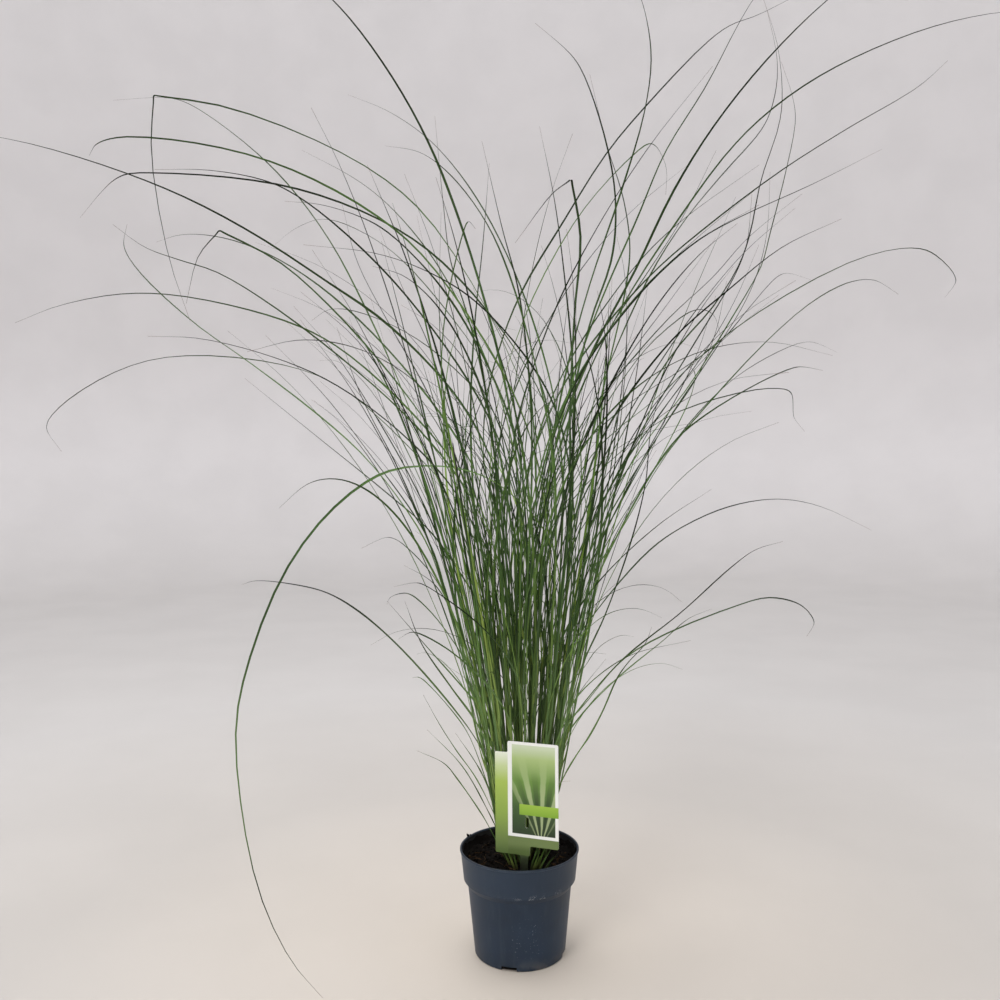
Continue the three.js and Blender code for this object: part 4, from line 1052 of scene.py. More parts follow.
def growThinLeaves(shoots, stalks):
    grown = []
    for kindNumber, (kindName, kind) in enumerate(thinKinds.items(), 1):
        owed = 0
        for index, shoot in enumerate(shoots):
            owed += kind["perShoot"]
            while owed >= 1:
                owed -= 1
                seed = 1000 * kindNumber + index * 17 + len(grown) * 3
                pick = [draw(seed + step) for step in range(6)]
                collar = between(*kind["collars"], pick[0])
                if kindName == "spear":
                    collar = stalks[index]["knots"][-1][2] - thin["spearRise"]
                bend = math.radians(between(*kind["bends"], pick[1]))
                turn = math.radians(between(*kind["turns"], pick[2]))
                if kindName == "arching" and shoot["offset"][1] < 0:
                    turn = -turn
                if kindName == "crossing" and shoot["offset"][0] > 0:
                    turn += math.pi
                length = between(*kind["lengths"], pick[3])
                points = archedPoints(shoot, collar, length, bend, turn, thin["steps"])
                leaf = {
                    "collar": collar, "width": between(*kind["widths"], pick[4]), "points": points,
                    "seen": None, "tone": between(*kind["tones"], pick[5]), "rolled": kind["rolled"],
                    "dry": int(kindName == "dry"),
                }
                grown.append(makeStrand(shoots, index, leaf, len(grown), True))
    return grown


# Young blades that fan out of the soil behind the label's stake.
tuft = {
    "blades": 14,
    "across": (-28, 20),
    "behind": (4, 15),
    "lengths": (35, 85),
    "fan": math.radians(34),
    "straying": 0.5,
    "leans": (0.6, 1.4),
    "back": 0.18,
    "widths": (2.4, 4),
    "tones": (0.25, 0.75),
    "rolled": 0.2,
    "sunk": 4,
    "knots": 6,
    "seed": 300,
}


def growTuft(shoots):
    grown = []
    turn = math.radians(label["turn"])
    for i in range(tuft["blades"]):
        pick = [draw(tuft["seed"] + i * 7 + step) for step in range(6)]
        share = (i + pick[0]) / tuft["blades"]
        across, behind = between(*tuft["across"], share), between(*tuft["behind"], pick[1])
        x = label["centre"][0] + across * math.cos(turn) - behind * math.sin(turn)
        y = label["centre"][1] + across * math.sin(turn) + behind * math.cos(turn)
        foot = np.array([x, y, float(soilHeight(x, y)) - tuft["sunk"]])
        tilt = tuft["fan"] * (share * 2 - 1 + between(-tuft["straying"], tuft["straying"], pick[2]))
        length = between(*tuft["lengths"], pick[3])
        knots = [foot]
        for step in range(1, tuft["knots"]):
            along = step / tuft["knots"]
            lean = tilt * between(*tuft["leans"], along)
            ahead = np.array([math.sin(lean), tuft["back"] * along, math.cos(lean)])
            knots.append(knots[-1] + unit(ahead) * length / (tuft["knots"] - 1))
        index = min(range(len(shoots)), key=lambda i: math.dist(shoots[i]["foot"], (x, y)))
        leaf = {
            "width": between(*tuft["widths"], pick[4]), "seen": None,
            "tone": between(*tuft["tones"], pick[5]), "rolled": tuft["rolled"], "dry": 0,
        }
        grown.append({"index": index, "stem": False, "leaf": leaf, "knots": np.array(knots)})
    return grown


thinStrands = growThinLeaves(shoots, [strand for strand in strands if strand["stem"]])
for strand in strands:
    strand["free"] = np.zeros(len(strand["knots"]))
bendClear(strands + thinStrands, thin["rounds"])
thinStrands += growTuft(shoots)
print("thin leaves grown:", len(thinStrands))

# Leaf blades: a blank strip, broad or fine, is copied and laid along each course

# The folded, broad, slim and eased leaves are told by their number in seenLeaves.
leafShape = {
    "widthGain": (0.71, 0.91),  # of the frame's stouter blades, at the foot and further up
    "slimFrom": (0.2, 0.6),
    "taperPower": 2.6,
    "foldedTaper": 6,
    "mostAway": math.radians(35),
    "shownBetween": (0.35, 0.85),
    "turnedFrom": (0.06, 0.45),
    "twistKept": 0.4,
    "folded": (1, 8, 65),
    "foldLengths": (1.5, 7),
    "foldTurn": math.radians(10),
    "broad": (4, 5, 7, 17, 23, 33, 38, 39, 55, 59, 60, 66, 74, 83),
    "slim": (1, 12, 18, 20, 24, 34, 52, 61, 62, 80, 82, 84, 86, 93, 94),
    "broadGain": 1.4,
    "slimGain": 0.62,
    "eased": (90,),
    "easedKnots": (2, 6),
    "easeRounds": 2,
    "fromSoilBelow": 225,
    "freeAbove": 235,
    "footShare": 0.28,
    "footMiddle": (0.44, 0.44, 0.5),
    "footSheath": 0.45,
    "cells": (4, 44),
    "thinCells": (2, 26),
    "edgeFrom": 0.9,
    "ribShare": 0.3,
    "ribWithin": 0.1,
    "tipHalfWidth": 0.13,
    "edgeThick": 0.1,
    "midThick": 0.3,
    "ribThick": 0.85,
    "ribFade": 0.8,
    "leastThick": 0.08,
    "mostThickShare": 0.9,
    "sheathRadius": 1.8,
    "sheathHalfTurn": math.radians(150),
    "sheathReach": 34,
    "channel": (math.radians(52), math.radians(20)),
    "flatFrom": 0.4,
    "wave": 0.5,
    "waves": 5,
    "aheadStep": 0.03,
    "smoothAngle": 55,
}


def modelBlank(name, cells):
    bpy.ops.mesh.primitive_grid_add(x_subdivisions=cells[0], y_subdivisions=cells[1], size=2)
    blank = startPiece(name)
    bpy.ops.object.mode_set(mode="EDIT")
    bpy.ops.transform.translate(value=(0, 1, 0))
    bpy.ops.transform.resize(value=(1, 0.5, 1), center_override=(0, 0, 0))
    bpy.ops.object.mode_set(mode="OBJECT")
    applyModifier(blank, "SOLIDIFY", thickness=1, offset=-1)
    return blank


def turnedAbout(vectors, axes, angles):
    cosine, sine = np.cos(angles)[:, None], np.sin(angles)[:, None]
    return vectors * cosine + np.cross(axes, vectors) * sine


# Where a leaf is creased and hangs, its course gets a corner in place of a round turn.
def sharplyFolded(knots):
    steps = unit(np.diff(knots, axis=0))
    turned = np.arccos(np.clip((steps[1:] * steps[:-1]).sum(1), -1, 1))
    first = last = int(np.argmax(turned))
    while first > 1 and turned[first - 1] > leafShape["foldTurn"]:
        first -= 1
    while last < len(turned) - 2 and turned[last + 1] > leafShape["foldTurn"]:
        last += 1
    corner = knots[first + 1:last + 2].mean(0)
    back, ahead = unit(knots[first] - corner), unit(knots[last + 2] - corner)
    near, far = leafShape["foldLengths"]
    bend = [corner + back * far, corner + back * near, corner + ahead * near, corner + ahead * far]
    return np.vstack([knots[:first + 1], bend, knots[last + 2:]])


# The lowest leaves rise from the soil at the crown's edge, on slim sheaths of their own.
def risesFromSoil(leaf):
    return leaf["seen"] is not None and seenLeaves[leaf["seen"]][2][1] * cm < leafShape["fromSoilBelow"]


def rootedKnots(knots):
    first = next(i for i, knot in enumerate(knots) if i > 1 and knot[2] > leafShape["freeAbove"])
    start = knots[first]
    foot = crown["centre"] + (start[:2] - crown["centre"]) * leafShape["footShare"]
    foot = np.array([*foot, float(soilHeight(*foot)) - tuft["sunk"]])
    middle = foot + (start - foot) * leafShape["footMiddle"]
    return np.vstack([foot, middle, knots[first:]])


# A leaf that wavers at its foot is drawn out smoothly.
def easedKnots(knots):
    first, end = leafShape["easedKnots"]
    for i in range(leafShape["easeRounds"]):
        eased = (knots[first - 1:end - 1] + 2 * knots[first:end] + knots[first + 1:end + 1]) / 4
        knots = np.vstack([knots[:first], eased, knots[end:]])
    return knots


def bladeCourse(strand):
    seen, knots = strand["leaf"]["seen"], strand["knots"]
    if seen in leafShape["folded"]:
        knots = sharplyFolded(knots)
    if seen in leafShape["eased"]:
        knots = easedKnots(knots)
    if risesFromSoil(strand["leaf"]):
        knots = rootedKnots(knots)
    return knots


# A leaf that arches across the view would show only its edge, so it's turned about its length.
def turnToFront(side, ahead, centre, along):
    shown = unit(np.cross(ahead, eye - centre))
    away = np.arctan2((np.cross(shown, side) * ahead).sum(1), (shown * side).sum(1))
    first, last = leafShape["shownBetween"]
    middle = (along > first) & (along < last)
    mean = np.angle(np.exp(2j * away[middle]).mean()) / 2
    turn = -math.copysign(max(0, abs(mean) - leafShape["mostAway"]), mean)
    return turn * smoothShare(along, *leafShape["turnedFrom"])


# How far each place of a blade is turned about its length: the sheath's mouth is wrapped round the
# stem, and the blade turns to its own side as it opens.
def bladeTurn(knots, flat, twist, opened):
    outward = (knots[1] - knots[0]) * (1, 1, 0)
    if np.linalg.norm(outward) < 1:
        outward = (knots[-1] - knots[0]) * (1, 1, 0)
    outward = unit(outward)
    baseSide = np.array([-outward[1], outward[0], 0])
    wrap = math.atan2(np.dot(np.cross(flat, baseSide), (0, 0, 1)), np.dot(flat, baseSide))
    return between(wrap, twist, opened)


def bladeHalfWidth(leaf, along):
    width = leaf["width"] * between(*leafShape["widthGain"], smoothShare(along, *leafShape["slimFrom"]))
    if leaf["seen"] in leafShape["broad"]:
        width = width * leafShape["broadGain"]
    if leaf["seen"] in leafShape["slim"]:
        width = width * leafShape["slimGain"]
    power = leafShape["foldedTaper" if leaf["seen"] in leafShape["folded"] else "taperPower"]
    return halfWidth(width, along, leafShape["tipHalfWidth"], power)


def bladeThickness(across, along, opened, spread):
    thick = between(leafShape["midThick"], leafShape["edgeThick"], np.abs(across))
    ribThick = leafShape["ribThick"] * opened * (1 - along * leafShape["ribFade"])
    thick = np.where(np.abs(across) < leafShape["ribWithin"], ribThick, thick)
    return np.minimum(np.maximum(thick, leafShape["leastThick"]), spread * leafShape["mostThickShare"])


def layBlade(blank, name, strand, seed, marks):
    leaf, knots = strand["leaf"], bladeCourse(strand)
    blankPlaces = placesOf(blank.data)
    across, along, below = blankPlaces[:, 0], blankPlaces[:, 1], -blankPlaces[:, 2]
    # the rows between the rib and the edges are drawn in beside the rib
    inner = np.abs(across) < leafShape["edgeFrom"]
    across = np.where(inner, across * 2 * leafShape["ribShare"], across)
    last = len(knots) - 1
    reached = along * last
    centre = curveAt(knots, reached)
    before = np.maximum(reached - leafShape["aheadStep"], 0)
    after = np.minimum(reached + leafShape["aheadStep"], last)
    ahead = unit(curveAt(knots, after) - curveAt(knots, before))
    course = knots[-1] - knots[0]
    flat = unit(np.array([-course[1], course[0], 0]))
    side = unit(flat - ahead * (ahead @ flat)[:, None])
    steps = np.linalg.norm(np.diff(knots, axis=0), axis=1)
    fromFoot = np.interp(reached, np.arange(last + 1), np.concatenate([[0], np.cumsum(steps)]))
    opened = smoothShare(fromFoot, 0, leafShape["sheathReach"])
    twistStart = between(-1, 1, draw(seed)) * blade["twistStart"]
    twistGrowth = between(-1, 1, draw(seed + 1)) * blade["twistGrowth"]
    twist = twistStart + twistGrowth * along
    if leaf["seen"] is not None:
        twist = twist * leafShape["twistKept"] + turnToFront(side, ahead, centre, along)
    side = turnedAbout(side, ahead, bladeTurn(knots, flat, twist, opened))
    under = np.cross(side, ahead)
    # the cross-section is an arc: nearly closed at the sheath, then an open channel
    sheathRadius = leafShape["sheathRadius"] * (leafShape["footSheath"] if risesFromSoil(leaf) else 1)
    channel = between(*leafShape["channel"], smoothShare(along, 0, leafShape["flatFrom"]))
    channel = between(channel, leafShape["sheathHalfTurn"], leaf.get("rolled", 0))
    bend = between(leafShape["sheathHalfTurn"], channel, opened)
    spread = between(sheathRadius * leafShape["sheathHalfTurn"], bladeHalfWidth(leaf, along), opened)
    reach = spread * np.sin(across * bend) / bend
    lift = spread * (1 - np.cos(across * bend)) / bend
    wave = np.sin(along * leafShape["waves"] * 2 * math.pi + draw(seed + 2) * anyTurn)
    wave = wave * leafShape["wave"] * opened * (1 - along) * across
    drop = below * bladeThickness(across, along, opened, spread) - lift + wave
    drop = drop + (1 - opened) * sheathRadius
    piece = copyTo(blank, name, centre + side * reach[:, None] + under * drop[:, None])
    addMarks(piece.data, across=across, along=along, below=below, sheath=1 - opened, **marks)
    return piece


# Stems of rolled sheaths

stalk = {
    "sides": 12,
    "girth": 0.7,  # of the frame's stouter stem
    "sink": 24,
    "flare": 0.3,
    "flareFall": 12.5,
    "edgeFall": 2.5,
    "tipRise": 5,
    "tipShare": 0.35,
    "alongShare": 0.3,
}


# A stalk's heights with its radius at each: it swells a little below every leaf's collar.
def stalkRings(shoot, strand):
    heights = strand["knots"][:, 2]
    swellings = [(soil["edgeHeight"] - stalk["sink"], 0), (heights[0], stalk["flare"])]
    for leaf in shoot["leaves"]:
        swellings.append((leaf["collar"] - stalk["flareFall"], 0))
        swellings.append((leaf["collar"] - stalk["edgeFall"], stalk["flare"]))
        swellings.append((leaf["collar"], 0))
    swellings.append((heights[-1] + stalk["tipRise"], -strand["radii"][-1] * (1 - stalk["tipShare"])))
    radii = strand["radii"] * stalk["girth"]
    swellings.sort()
    return [(height, float(np.interp(height, heights, radii)) + swell) for height, swell in swellings]


def makeStalk(name, shoot, strand, marks):
    rings = stalkRings(shoot, strand)
    height, radius = rings[0]
    foot = stemPoint(shoot, shoot["level"])
    foot[2] = height
    bpy.ops.mesh.primitive_circle_add(vertices=stalk["sides"], radius=radius * mm, fill_type="NGON",
                                      location=inMetres(foot))
    piece = startPiece(name)
    settle(piece)
    bpy.ops.object.mode_set(mode="EDIT")
    bpy.ops.mesh.select_all(action="SELECT")
    here, size = foot, radius
    for height, radius in rings[1:]:
        there = stemPoint(shoot, max(height, shoot["level"]))
        there[2] = height
        bpy.ops.mesh.extrude_region_move(TRANSFORM_OT_translate={"value": inMetres(there - here)})
        grow = radius / size
        bpy.ops.transform.resize(value=(grow, grow, 1), center_override=inMetres(there))
        here, size = there, radius
    bpy.ops.mesh.select_all(action="SELECT")
    bpy.ops.mesh.normals_make_consistent(inside=False)
    bpy.ops.object.mode_set(mode="OBJECT")
    heights = placesOf(piece.data)[:, 2] / mm
    along = np.clip((heights - shoot["level"]) / (here[2] - shoot["level"]), 0, 1) * stalk["alongShare"]
    addMarks(piece.data, across=0.5, along=along, below=1, sheath=1, **marks)
    return piece


# Heights over which the leaves' colour changes, and how wide the painted shade in the clump's heart is at
# its foot.
leafTints = {
    "paleSheath": (140, 420),
    "paleFrom": (190, 260),
    "paleTo": (340, 500),
    "lowShade": (145, 200),
    "heartShadeTo": (350, 750),
    "earthy": (136, 155),
    "heartShadeFoot": 13,
}


def leafFinish():
    paint = Finish("leafGreen")
    across, along = paint.attribute("across"), paint.attribute("along")
    tone, dry = paint.attribute("tone"), paint.attribute("dry")
    sheath, below = paint.attribute("sheath"), paint.attribute("below")
    place = paint.objectPlace()
    x, y, height = paint.parts(place)
    patches = paint.noise(place, 22, 3)
    lengthwise = paint.add("CombineXYZ", {}, {"X": across * 9, "Y": along * 5, "Z": tone * 40})
    streaks = paint.noise(lengthwise, 1.6, 4, 0.65)
    near = along.below(0.25, 0.65)
    spread = (tone - 0.52) * along.below(0.1, 0.36) * 0.75
    # painted shade: leaves are painted darker towards their tips, for the arching outer parts whose
    # undersides are in shade
    pick = tone * 0.8 + spread + patches * 0.25 + (0.5 - along) * 0.85
    green = paint.ramp(pick, [
        (0.0, "#090b05"), (0.2, "#18230f"), (0.42, "#334b22"), (0.6, "#527336"),
        (0.8, "#76973f"), (1.0, "#a3b84f"),
    ])
    green = paint.mix((streaks - 0.5).size() * 0.9, green, "#14240f")
    green = paint.mix(below * near * 0.3, green, "#4a6645")
    rib = across.size().below(0.05, 0.25) * (near * 0.85 + 0.15) * (1 - sheath)
    green = paint.mix(rib * 0.4, green, "#93ab74")
    edge = across.size().above(0.88, 1.0) * near * (1 - sheath)
    green = paint.mix(edge * 0.15, green, "#7f9a5a")
    green = paint.mix(sheath * height.below(*inMetres(leafTints["paleSheath"])) * 0.5, green, "#5f7142")
    # painted light: leaves between these heights are painted paler, lifting the low bunch that the leaves
    # above shade
    paler = height.above(*inMetres(leafTints["paleFrom"])) * height.below(*inMetres(leafTints["paleTo"]))
    green = paint.mix(paler * 0.36, green, "#88a668")
    green = paint.mix(height.below(*inMetres(leafTints["lowShade"])) * 0.45, green, "#2c3818")
    # the leaves in the heart of the clump are painted darker: painted shade where the leaves around them
    # block the light
    centreX, centreY = inMetres(crown["centre"])
    fromHeart = ((x - centreX) ** 2 + (y - centreY) ** 2) ** 0.5
    share = fromHeart / (height * crown["edgeLean"] + leafTints["heartShadeFoot"] * mm)
    heartShade = share.below(0.45, 0.9) * height.below(*inMetres(leafTints["heartShadeTo"]))
    green = paint.mix(heartShade * 0.36, green, "#10180a")
    green = paint.mix(sheath * height.below(*inMetres(leafTints["earthy"])) * 0.9, green, "#2a1d13")
    tip = along.above(0.955, 0.995) * (1 - sheath) * tone.below(0.3, 0.8)
    green = paint.mix(tip * 0.8, green, "#6a3d29")
    straw = paint.ramp(streaks, [(0.3, "#8e6f45"), (0.7, "#c4a878")])
    colour = paint.mix(dry * (0.75 + patches * 0.3), green, straw)
    grain = paint.bump(streaks, 0.25, 0.2 * mm)
    return paint.wear(colour=colour, roughness=0.5 + streaks * 0.16, normal=grain, shine=0.12)


# Tones go from 0, a dark green, to 1, a bright yellow-green. A few leaves that show, told by their
# number, have a tone of their own, and some in the middle of the clump are bright.
leafTones = {
    "stalks": (0.12, 0.72),
    "seen": (0.1, 0.55),
    "filling": (0.2, 0.8),
    "bright": (0.85, 1),
    "brightFrom": 0.75,
    "brightWithin": 14,
    "own": {1: 0.38, 31: 0, 32: 0.5, 87: 0.5, 90: 0.5},
}


def leafTone(leaf, shoot, seed):
    pick = draw(seed + 40)
    if leaf["seen"] in leafTones["own"]:
        return leafTones["own"][leaf["seen"]]
    if leaf["seen"] is not None:
        return between(*leafTones["seen"], pick)
    if pick > leafTones["brightFrom"] and abs(shoot["offset"][0]) < leafTones["brightWithin"]:
        return between(*leafTones["bright"], draw(seed + 41))
    return between(*leafTones["filling"], pick)


def makeClump():
    finish = leafFinish()
    broad = modelBlank("broadBlank", leafShape["cells"])
    fine = modelBlank("fineBlank", leafShape["thinCells"])
    for index, shoot in enumerate(shoots):
        stalkStrand, *bladeStrands = [strand for strand in strands if strand["index"] == index]
        name = "grassShoot" + str(index + 1).zfill(2)
        seed = index * 13
        marks = {"tone": between(*leafTones["stalks"], draw(seed + 5)), "dry": 0}
        parts = [makeStalk(name, shoot, stalkStrand, marks)]
        for number, strand in enumerate(bladeStrands):
            marks = {"tone": leafTone(strand["leaf"], shoot, seed + number * 3), "dry": 0}
            parts.append(layBlade(broad, name + "leaf", strand, seed + number * 3, marks))
        for number, strand in enumerate(thinStrands):
            if strand["index"] == index:
                marks = {"tone": strand["leaf"]["tone"], "dry": strand["leaf"]["dry"]}
                parts.append(layBlade(fine, name + "thin", strand, thin["seed"] + number * 5, marks))
        piece = joinAll(parts)
        dress(piece, finish, leafShape["smoothAngle"])
        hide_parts("leafy_stem_" + str(index + 1).zfill(2))
        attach(piece, "root")
    for blank in (broad, fine):
        bpy.data.objects.remove(blank)


# Soil

peat = {
    "fitGap": 0.3,
    "steps": 150,
    "ringStep": 1.5,
    "smoothAngle": 50,
    "clods": ((16, 3.2), (5, 2.2), (2, 0.9)),
    "clodsOffWall": 0.5,
    "crust": 11.5,
    "crustReach": 4.2,
    "crustShare": 0.62,
    "crustWaves": ((5, 1, 0.14), (13, 2, 0.12), (29, 0, 0.12)),
    "spread": 80,
}
crumbs = {
    "count": 620,
    "seed": 5000,
    "sizes": (0.7, 3.0),
    "mostlySmall": 2.5,  # the higher, the fewer large ones
    "knobs": (0.72, 1.2),
    "stretches": (0.6, 1.3),
    "rise": 0.25,
    "paleFrom": 0.93,
    "onRim": ((153, 2.2, 1.6), (155, 1.3, 4.4), (149, 1.2, 0.8)),  # turn in degrees, size and lift
    "rimInset": 1.2,
}
fibres = {
    "count": 46,
    "seed": 9000,
    "cuts": (0, -0.5, 0.5),
    "lengths": (8, 26),
    "width": 0.35,
    "sags": (0.5, 2.5),
    "wave": 2.2,
    "arch": 0.4,
    "within": 0.85,
    "lift": 0.9,
}


def peatFinish():
    paint = Finish("peat")
    place = paint.objectPlace()
    clumps = paint.noise(place, 160, 5, 0.6)
    grains = paint.noise(place, 900, 4, 0.6)
    colour = paint.ramp(clumps, [(0.3, "#050302"), (0.55, "#0a0705"), (0.75, "#140e0a")])
    colour = paint.mix(grains.above(0.62, 0.74) * 0.5, colour, "#2b2018")
    threads = paint.noise(paint.stretched(place, (1, 0.16, 1)), 1200, 2)
    colour = paint.mix(threads.above(0.7, 0.78) * 0.5, colour, "#4a3220")
    fibre = paint.attribute("fibre")
    colour = paint.mix(fibre * 0.9, colour, paint.ramp(clumps, [(0.3, "#1f150d"), (0.7, "#55402a")]))
    grain = paint.bump(grains * 0.6 + clumps * 0.8, 0.8, 1.2 * mm)
    return paint.wear(colour=colour, roughness=0.93, normal=grain, shine=0.08)


def displaceTop(piece, scale, strength):
    texture = bpy.data.textures.new("clods", "CLOUDS")
    texture.noise_scale = scale * mm
    texture.noise_depth = 3
    applyModifier(piece, "DISPLACE", texture=texture, strength=strength * mm, mid_level=0.5,
                  direction="Z", texture_coords="LOCAL", vertex_group="top")


def makeSoil():
    inset = pot["wall"] + peat["fitGap"]
    foot = pot["floor"] + peat["fitGap"]
    walls = potWall(inset)
    edgeRadius = wallRadius(soil["edgeHeight"], inset)
    outline = [(0, foot), (wallRadius(foot, inset), foot), walls[1], walls[2]]
    rings = int(edgeRadius / peat["ringStep"])
    for i in range(rings, -1, -1):
        outline.append((edgeRadius * i / rings, soil["edgeHeight"]))
    piece = spinOutline("peatPlug", outline, peat["steps"])
    places = placesOf(piece.data) / mm
    top = places[:, 2] > soil["edgeHeight"] - 1
    reach = np.hypot(places[:, 0], places[:, 1])
    places[top, 2] = soilHeight(places[top, 0], places[top, 1])
    # soil clings to the wall above the edge, to a ragged height
    turns = np.arctan2(places[:, 1], places[:, 0])
    waves = sum(size * np.sin(turns * count + start) for count, start, size in peat["crustWaves"])
    clinging = smoothShare(reach, edgeRadius - peat["crustReach"], edgeRadius)
    rise = peat["crust"] * (peat["crustShare"] + waves) * clinging
    wallSlope = (walls[3][0] - walls[2][0]) / (walls[3][1] - walls[2][1])
    places[top, 2] += rise[top]
    places[top, :2] *= (1 + rise * wallSlope / np.maximum(reach, 1))[top, None]
    movePlaces(piece.data, places * mm)
    group = piece.vertex_groups.new(name="top")
    offWall = top & (reach < edgeRadius - peat["clodsOffWall"])
    group.add(np.nonzero(offWall)[0].tolist(), 1, "REPLACE")
    for scale, strength in peat["clods"]:
        displaceTop(piece, scale, strength)
    addMarks(piece.data, fibre=0)
    joinAll([piece, *makeCrumbs(), *makeFibres()])
    dress(piece, peatFinish(), peat["smoothAngle"])
    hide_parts("soil")
    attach(piece, "root")


def spotOnSoil(seed):
    reach = peat["spread"] * math.sqrt(draw(seed))
    turn = 2 * math.pi * draw(seed + 1)
    x, y = reach * math.cos(turn), reach * math.sin(turn)
    return np.array([x, y, float(soilHeight(x, y))])


def makeCrumbs():
    bpy.ops.mesh.primitive_ico_sphere_add(subdivisions=1, radius=1)
    crumb = startPiece("crumb")
    shape = placesOf(crumb.data)
    shape *= [[between(*crumbs["knobs"], draw(i * 3.1))] for i in range(len(shape))]
    copies = []
    for i in range(crumbs["count"] + len(crumbs["onRim"])):
        seed = crumbs["seed"] + i * 9
        size = between(*crumbs["sizes"], draw(seed + 2) ** crumbs["mostlySmall"])
        spot = spotOnSoil(seed)
        if i >= crumbs["count"]:
            degrees, size, lift = crumbs["onRim"][i - crumbs["count"]]
            reach, turn = pot["rimRadius"] - crumbs["rimInset"], math.radians(degrees)
            height = pot["height"] + lift - size * crumbs["rise"]
            spot = np.array([reach * math.cos(turn), reach * math.sin(turn), height])
        stretch = [size * between(*crumbs["stretches"], draw(seed + 3 + axis)) for axis in range(3)]
        turned = Matrix.Rotation(anyTurn * draw(seed + 6), 3, "Z")
        turned = turned @ Matrix.Rotation(anyTurn * draw(seed + 7), 3, "X")
        places = (shape * stretch) @ np.array(turned).T + spot + (0, 0, size * crumbs["rise"])
        copies.append(copyTo(crumb, "crumb", places))
        addMarks(copies[-1].data, fibre=draw(seed + 8) > crumbs["paleFrom"])
    bpy.data.objects.remove(crumb)
    return copies


def makeFibres():
    bpy.ops.mesh.primitive_cylinder_add(vertices=4, radius=1, depth=2, end_fill_type="NGON")
    fibre = startPiece("fibre")
    bpy.ops.object.mode_set(mode="EDIT")
    for cut in fibres["cuts"]:
        bpy.ops.mesh.select_all(action="SELECT")
        bpy.ops.mesh.bisect(plane_co=(0, 0, cut), plane_no=(0, 0, 1))
    bpy.ops.object.mode_set(mode="OBJECT")
    shape = placesOf(fibre.data)
    copies = []
    for i in range(fibres["count"]):
        seed = fibres["seed"] + i * 11
        length = between(*fibres["lengths"], draw(seed + 2))
        sag = between(*fibres["sags"], draw(seed + 3))
        places = np.stack([
            shape[:, 2] * length / 2,
            shape[:, 0] * fibres["width"] + np.sin(shape[:, 2] * fibres["wave"] + i) * sag,
            shape[:, 1] * fibres["width"] + sag * fibres["arch"] * (1 - shape[:, 2] ** 2),
        ], axis=1)
        turned = np.array(Matrix.Rotation(anyTurn * draw(seed + 4), 3, "Z"))
        spot = spotOnSoil(seed) * (fibres["within"], fibres["within"], 1) + (0, 0, fibres["lift"])
        copies.append(copyTo(fibre, "fibre", places @ turned.T + spot))
        addMarks(copies[-1].data, fibre=1)
    bpy.data.objects.remove(fibre)
    return copies


# Label

card = {
    "thick": 0.8,  # thinner than the frame's
    "slotWidth": 5.6,
    "slotSides": 32,
    "cutDepth": 10,
    "cornerSteps": 5,
    "smoothAngle": 40,
}
# The printed design: a pale frame, a panel with a fan of rays, a bar, a column and a lower strip.
# Each edge fades between two places, across from the left or up from the card's foot.
design = {
    "panelLeft": (24.5, 24.9),
    "panelRight": (86.3, 86.7),
    "panelFoot": (25, 25.4),
    "panelTop": (149, 149.4),
    "barLeft": (35, 35.4),
    "barFoot": (52, 52.3),
    "barTop": (66.7, 67),
    "stripTop": (20.7, 21),
    "edge": (-0.2, 0.2),
    "faceSide": (-0.1, 0.1),
    "fanCentre": 66,
    "fanFoot": 9,
    "fanGrowth": 80,
    "rayTurns": 15,
    "soiled": (-24, -4),
}


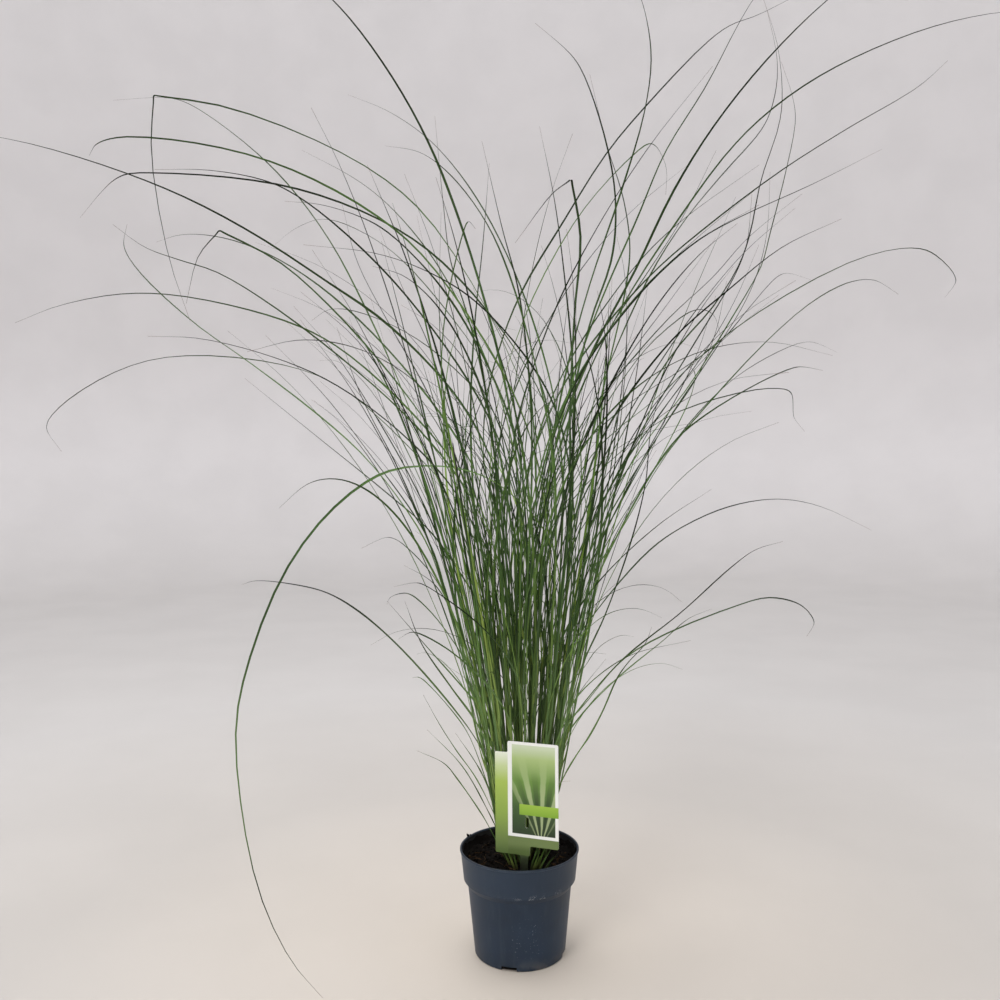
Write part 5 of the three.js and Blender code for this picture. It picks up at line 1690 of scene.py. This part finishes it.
def labelFinish():
    paint = Finish("printedCard")
    turned = paint.add("Mapping", {"vector_type": "TEXTURE"}, {
        "Vector": paint.objectPlace(),
        "Location": inMetres((*label["centre"], label["foot"])),
        "Rotation": (0, 0, math.radians(label["turn"])),
    })
    x, y, z = paint.parts(turned)
    across = x / mm + label["width"] / 2
    up = z / mm
    front = (y / mm).below(*design["faceSide"])
    cloud = paint.noise(turned, 40, 3)
    column = paint.ramp(up / label["columnHeight"], [
        (0.0, "#5c7239"), (0.14, "#6f8642"), (0.4, "#8eaa49"), (0.7, "#a6c056"),
        (0.86, "#c6d69c"), (1.0, "#e8eddc"),
    ])
    white = paint.mix(cloud * 0.2, "#f2f3ee", "#dfe3dc")
    inPanel = across.above(*design["panelLeft"]) * across.below(*design["panelRight"])
    inPanel = inPanel * up.above(*design["panelFoot"]) * up.below(*design["panelTop"])
    panelFoot = design["panelFoot"][0]
    risen = (up - panelFoot) / (design["panelTop"][0] - panelFoot)
    sky = paint.ramp(risen, [
        (0.0, "#22371a"), (0.3, "#3c5a28"), (0.6, "#6a8f3e"), (0.85, "#a9c07c"), (1.0, "#cfdabd"),
    ])
    # a fan of plain rays from the foot of the panel
    sideways = (across - design["fanCentre"]) / (risen * design["fanGrowth"] + design["fanFoot"])
    rays = (sideways * design["rayTurns"] + paint.noise(turned, 45, 2) * 1.4).sine()
    fan = rays.above(0.1, 0.7) * sideways.size().below(0.4, 1.2) * risen.below(0.4, 0.97)
    panel = paint.mix(fan * 0.6, sky, "#c3d29c")
    shade = rays.below(-0.8, -0.2) * sideways.size().below(0.3, 1.0) * risen.below(0.25, 0.8)
    panel = paint.mix(shade * 0.6, panel, "#1c2d15")
    face = paint.mix(inPanel, white, panel)
    bar = up.above(*design["barFoot"]) * up.below(*design["barTop"]) * across.above(*design["barLeft"])
    barFoot = design["barFoot"][0]
    barRisen = (up - barFoot) / (design["barTop"][1] - barFoot)
    face = paint.mix(bar, face, paint.ramp(barRisen, [(0.0, "#80aa2e"), (1.0, "#9cc043")]))
    strip = up.below(*design["stripTop"])
    face = paint.mix(strip, face, paint.mix(up.below(0, 12), "#6c7f48", "#566a34"))
    onColumn = (across - label["columnWidth"]).below(*design["edge"])
    face = paint.mix(onColumn, face, column)
    # painted shade: the stake below the card is painted dark green, darkest lower down
    stake = (up + label["tabSink"]).below(*design["edge"])
    stakeShadeStops = [(0.05, "#465430"), (0.14, "#2f3822"), (0.35, "#20261a")]
    face = paint.mix(stake, face, paint.ramp(-1 * up / label["stakeLength"], stakeShadeStops))
    colour = paint.mix(front * (1 - stake) + stake, "#e9ebe4", face)
    soiled = up.below(*design["soiled"]) * paint.noise(turned, 180, 4).above(0.4, 0.65)
    colour = paint.mix(soiled * 0.7, colour, "#1d1611")
    grain = paint.bump(paint.noise(turned, 500, 2), 0.05, 0.2 * mm)
    return paint.wear(colour=colour, roughness=0.34 + cloud * 0.1, normal=grain)


def makeSlotCutter():
    radius = card["slotWidth"] / 2
    bpy.ops.mesh.primitive_circle_add(vertices=card["slotSides"], radius=radius * mm, fill_type="NGON",
                                      rotation=(math.pi / 2, 0, 0))
    slot = settle(startPiece("slotCutter"))
    bpy.ops.object.mode_set(mode="EDIT")
    bpy.ops.mesh.select_all(action="SELECT")
    bpy.ops.mesh.extrude_region_move(TRANSFORM_OT_translate={"value": (0, card["cutDepth"] * mm, 0)})
    bpy.ops.mesh.select_all(action="SELECT")
    bpy.ops.mesh.normals_make_consistent(inside=False)
    bpy.ops.object.mode_set(mode="OBJECT")
    places = placesOf(slot.data) / mm
    lift = np.where(places[:, 2] > 0, label["slotHigh"] - radius, label["slotLow"] + radius)
    places[:, 2] += lift + label["foot"]
    places += (label["slotAcross"] - label["width"] / 2, -card["cutDepth"] / 2, 0)
    movePlaces(slot.data, places * mm)
    return slot


def makeLabel():
    stakeLeft = label["stakeAcross"] - label["stakeWidth"] / 2
    stakeRight = label["stakeAcross"] + label["stakeWidth"] / 2
    shoulder = label["stakeTip"] - label["stakeLength"]
    low = -label["tabSink"]
    corners = [
        (0, label["columnHeight"]), (0, low), (stakeLeft, low), (stakeLeft, shoulder),
        (label["stakeAcross"], -label["stakeLength"]), (stakeRight, shoulder), (stakeRight, low),
        (label["tabWidth"], low), (label["tabWidth"], label["tabDrop"]),
        (label["width"], label["tabDrop"]), (label["width"], label["height"]),
        (label["columnWidth"], label["height"]), (label["columnWidth"], label["columnHeight"]),
    ]
    outline = [(x - label["width"] / 2, 0, label["foot"] + z) for x, z in corners]
    piece = drawLine("plantLabel", [*outline, outline[0]])
    bpy.ops.mesh.remove_doubles(threshold=mergeWithin * mm)
    bpy.ops.mesh.edge_face_add()
    bpy.ops.mesh.select_all(action="SELECT")
    bpy.ops.mesh.bevel(offset=label["corner"] * mm, segments=card["cornerSteps"], affect="VERTICES")
    bpy.ops.object.mode_set(mode="OBJECT")
    applyModifier(piece, "SOLIDIFY", thickness=card["thick"] * mm, offset=0)
    cutAway(piece, makeSlotCutter())
    piece.rotation_euler = (0, 0, math.radians(label["turn"]))
    piece.location = inMetres((*label["centre"], 0))
    settle(piece)
    dress(piece, labelFinish(), card["smoothAngle"])
    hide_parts("plant_label")
    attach(piece, "root")


makePot()
print("pot made")
makeSoil()
print("soil made")
makeLabel()
print("label made")
makeClump()
print("clump made")
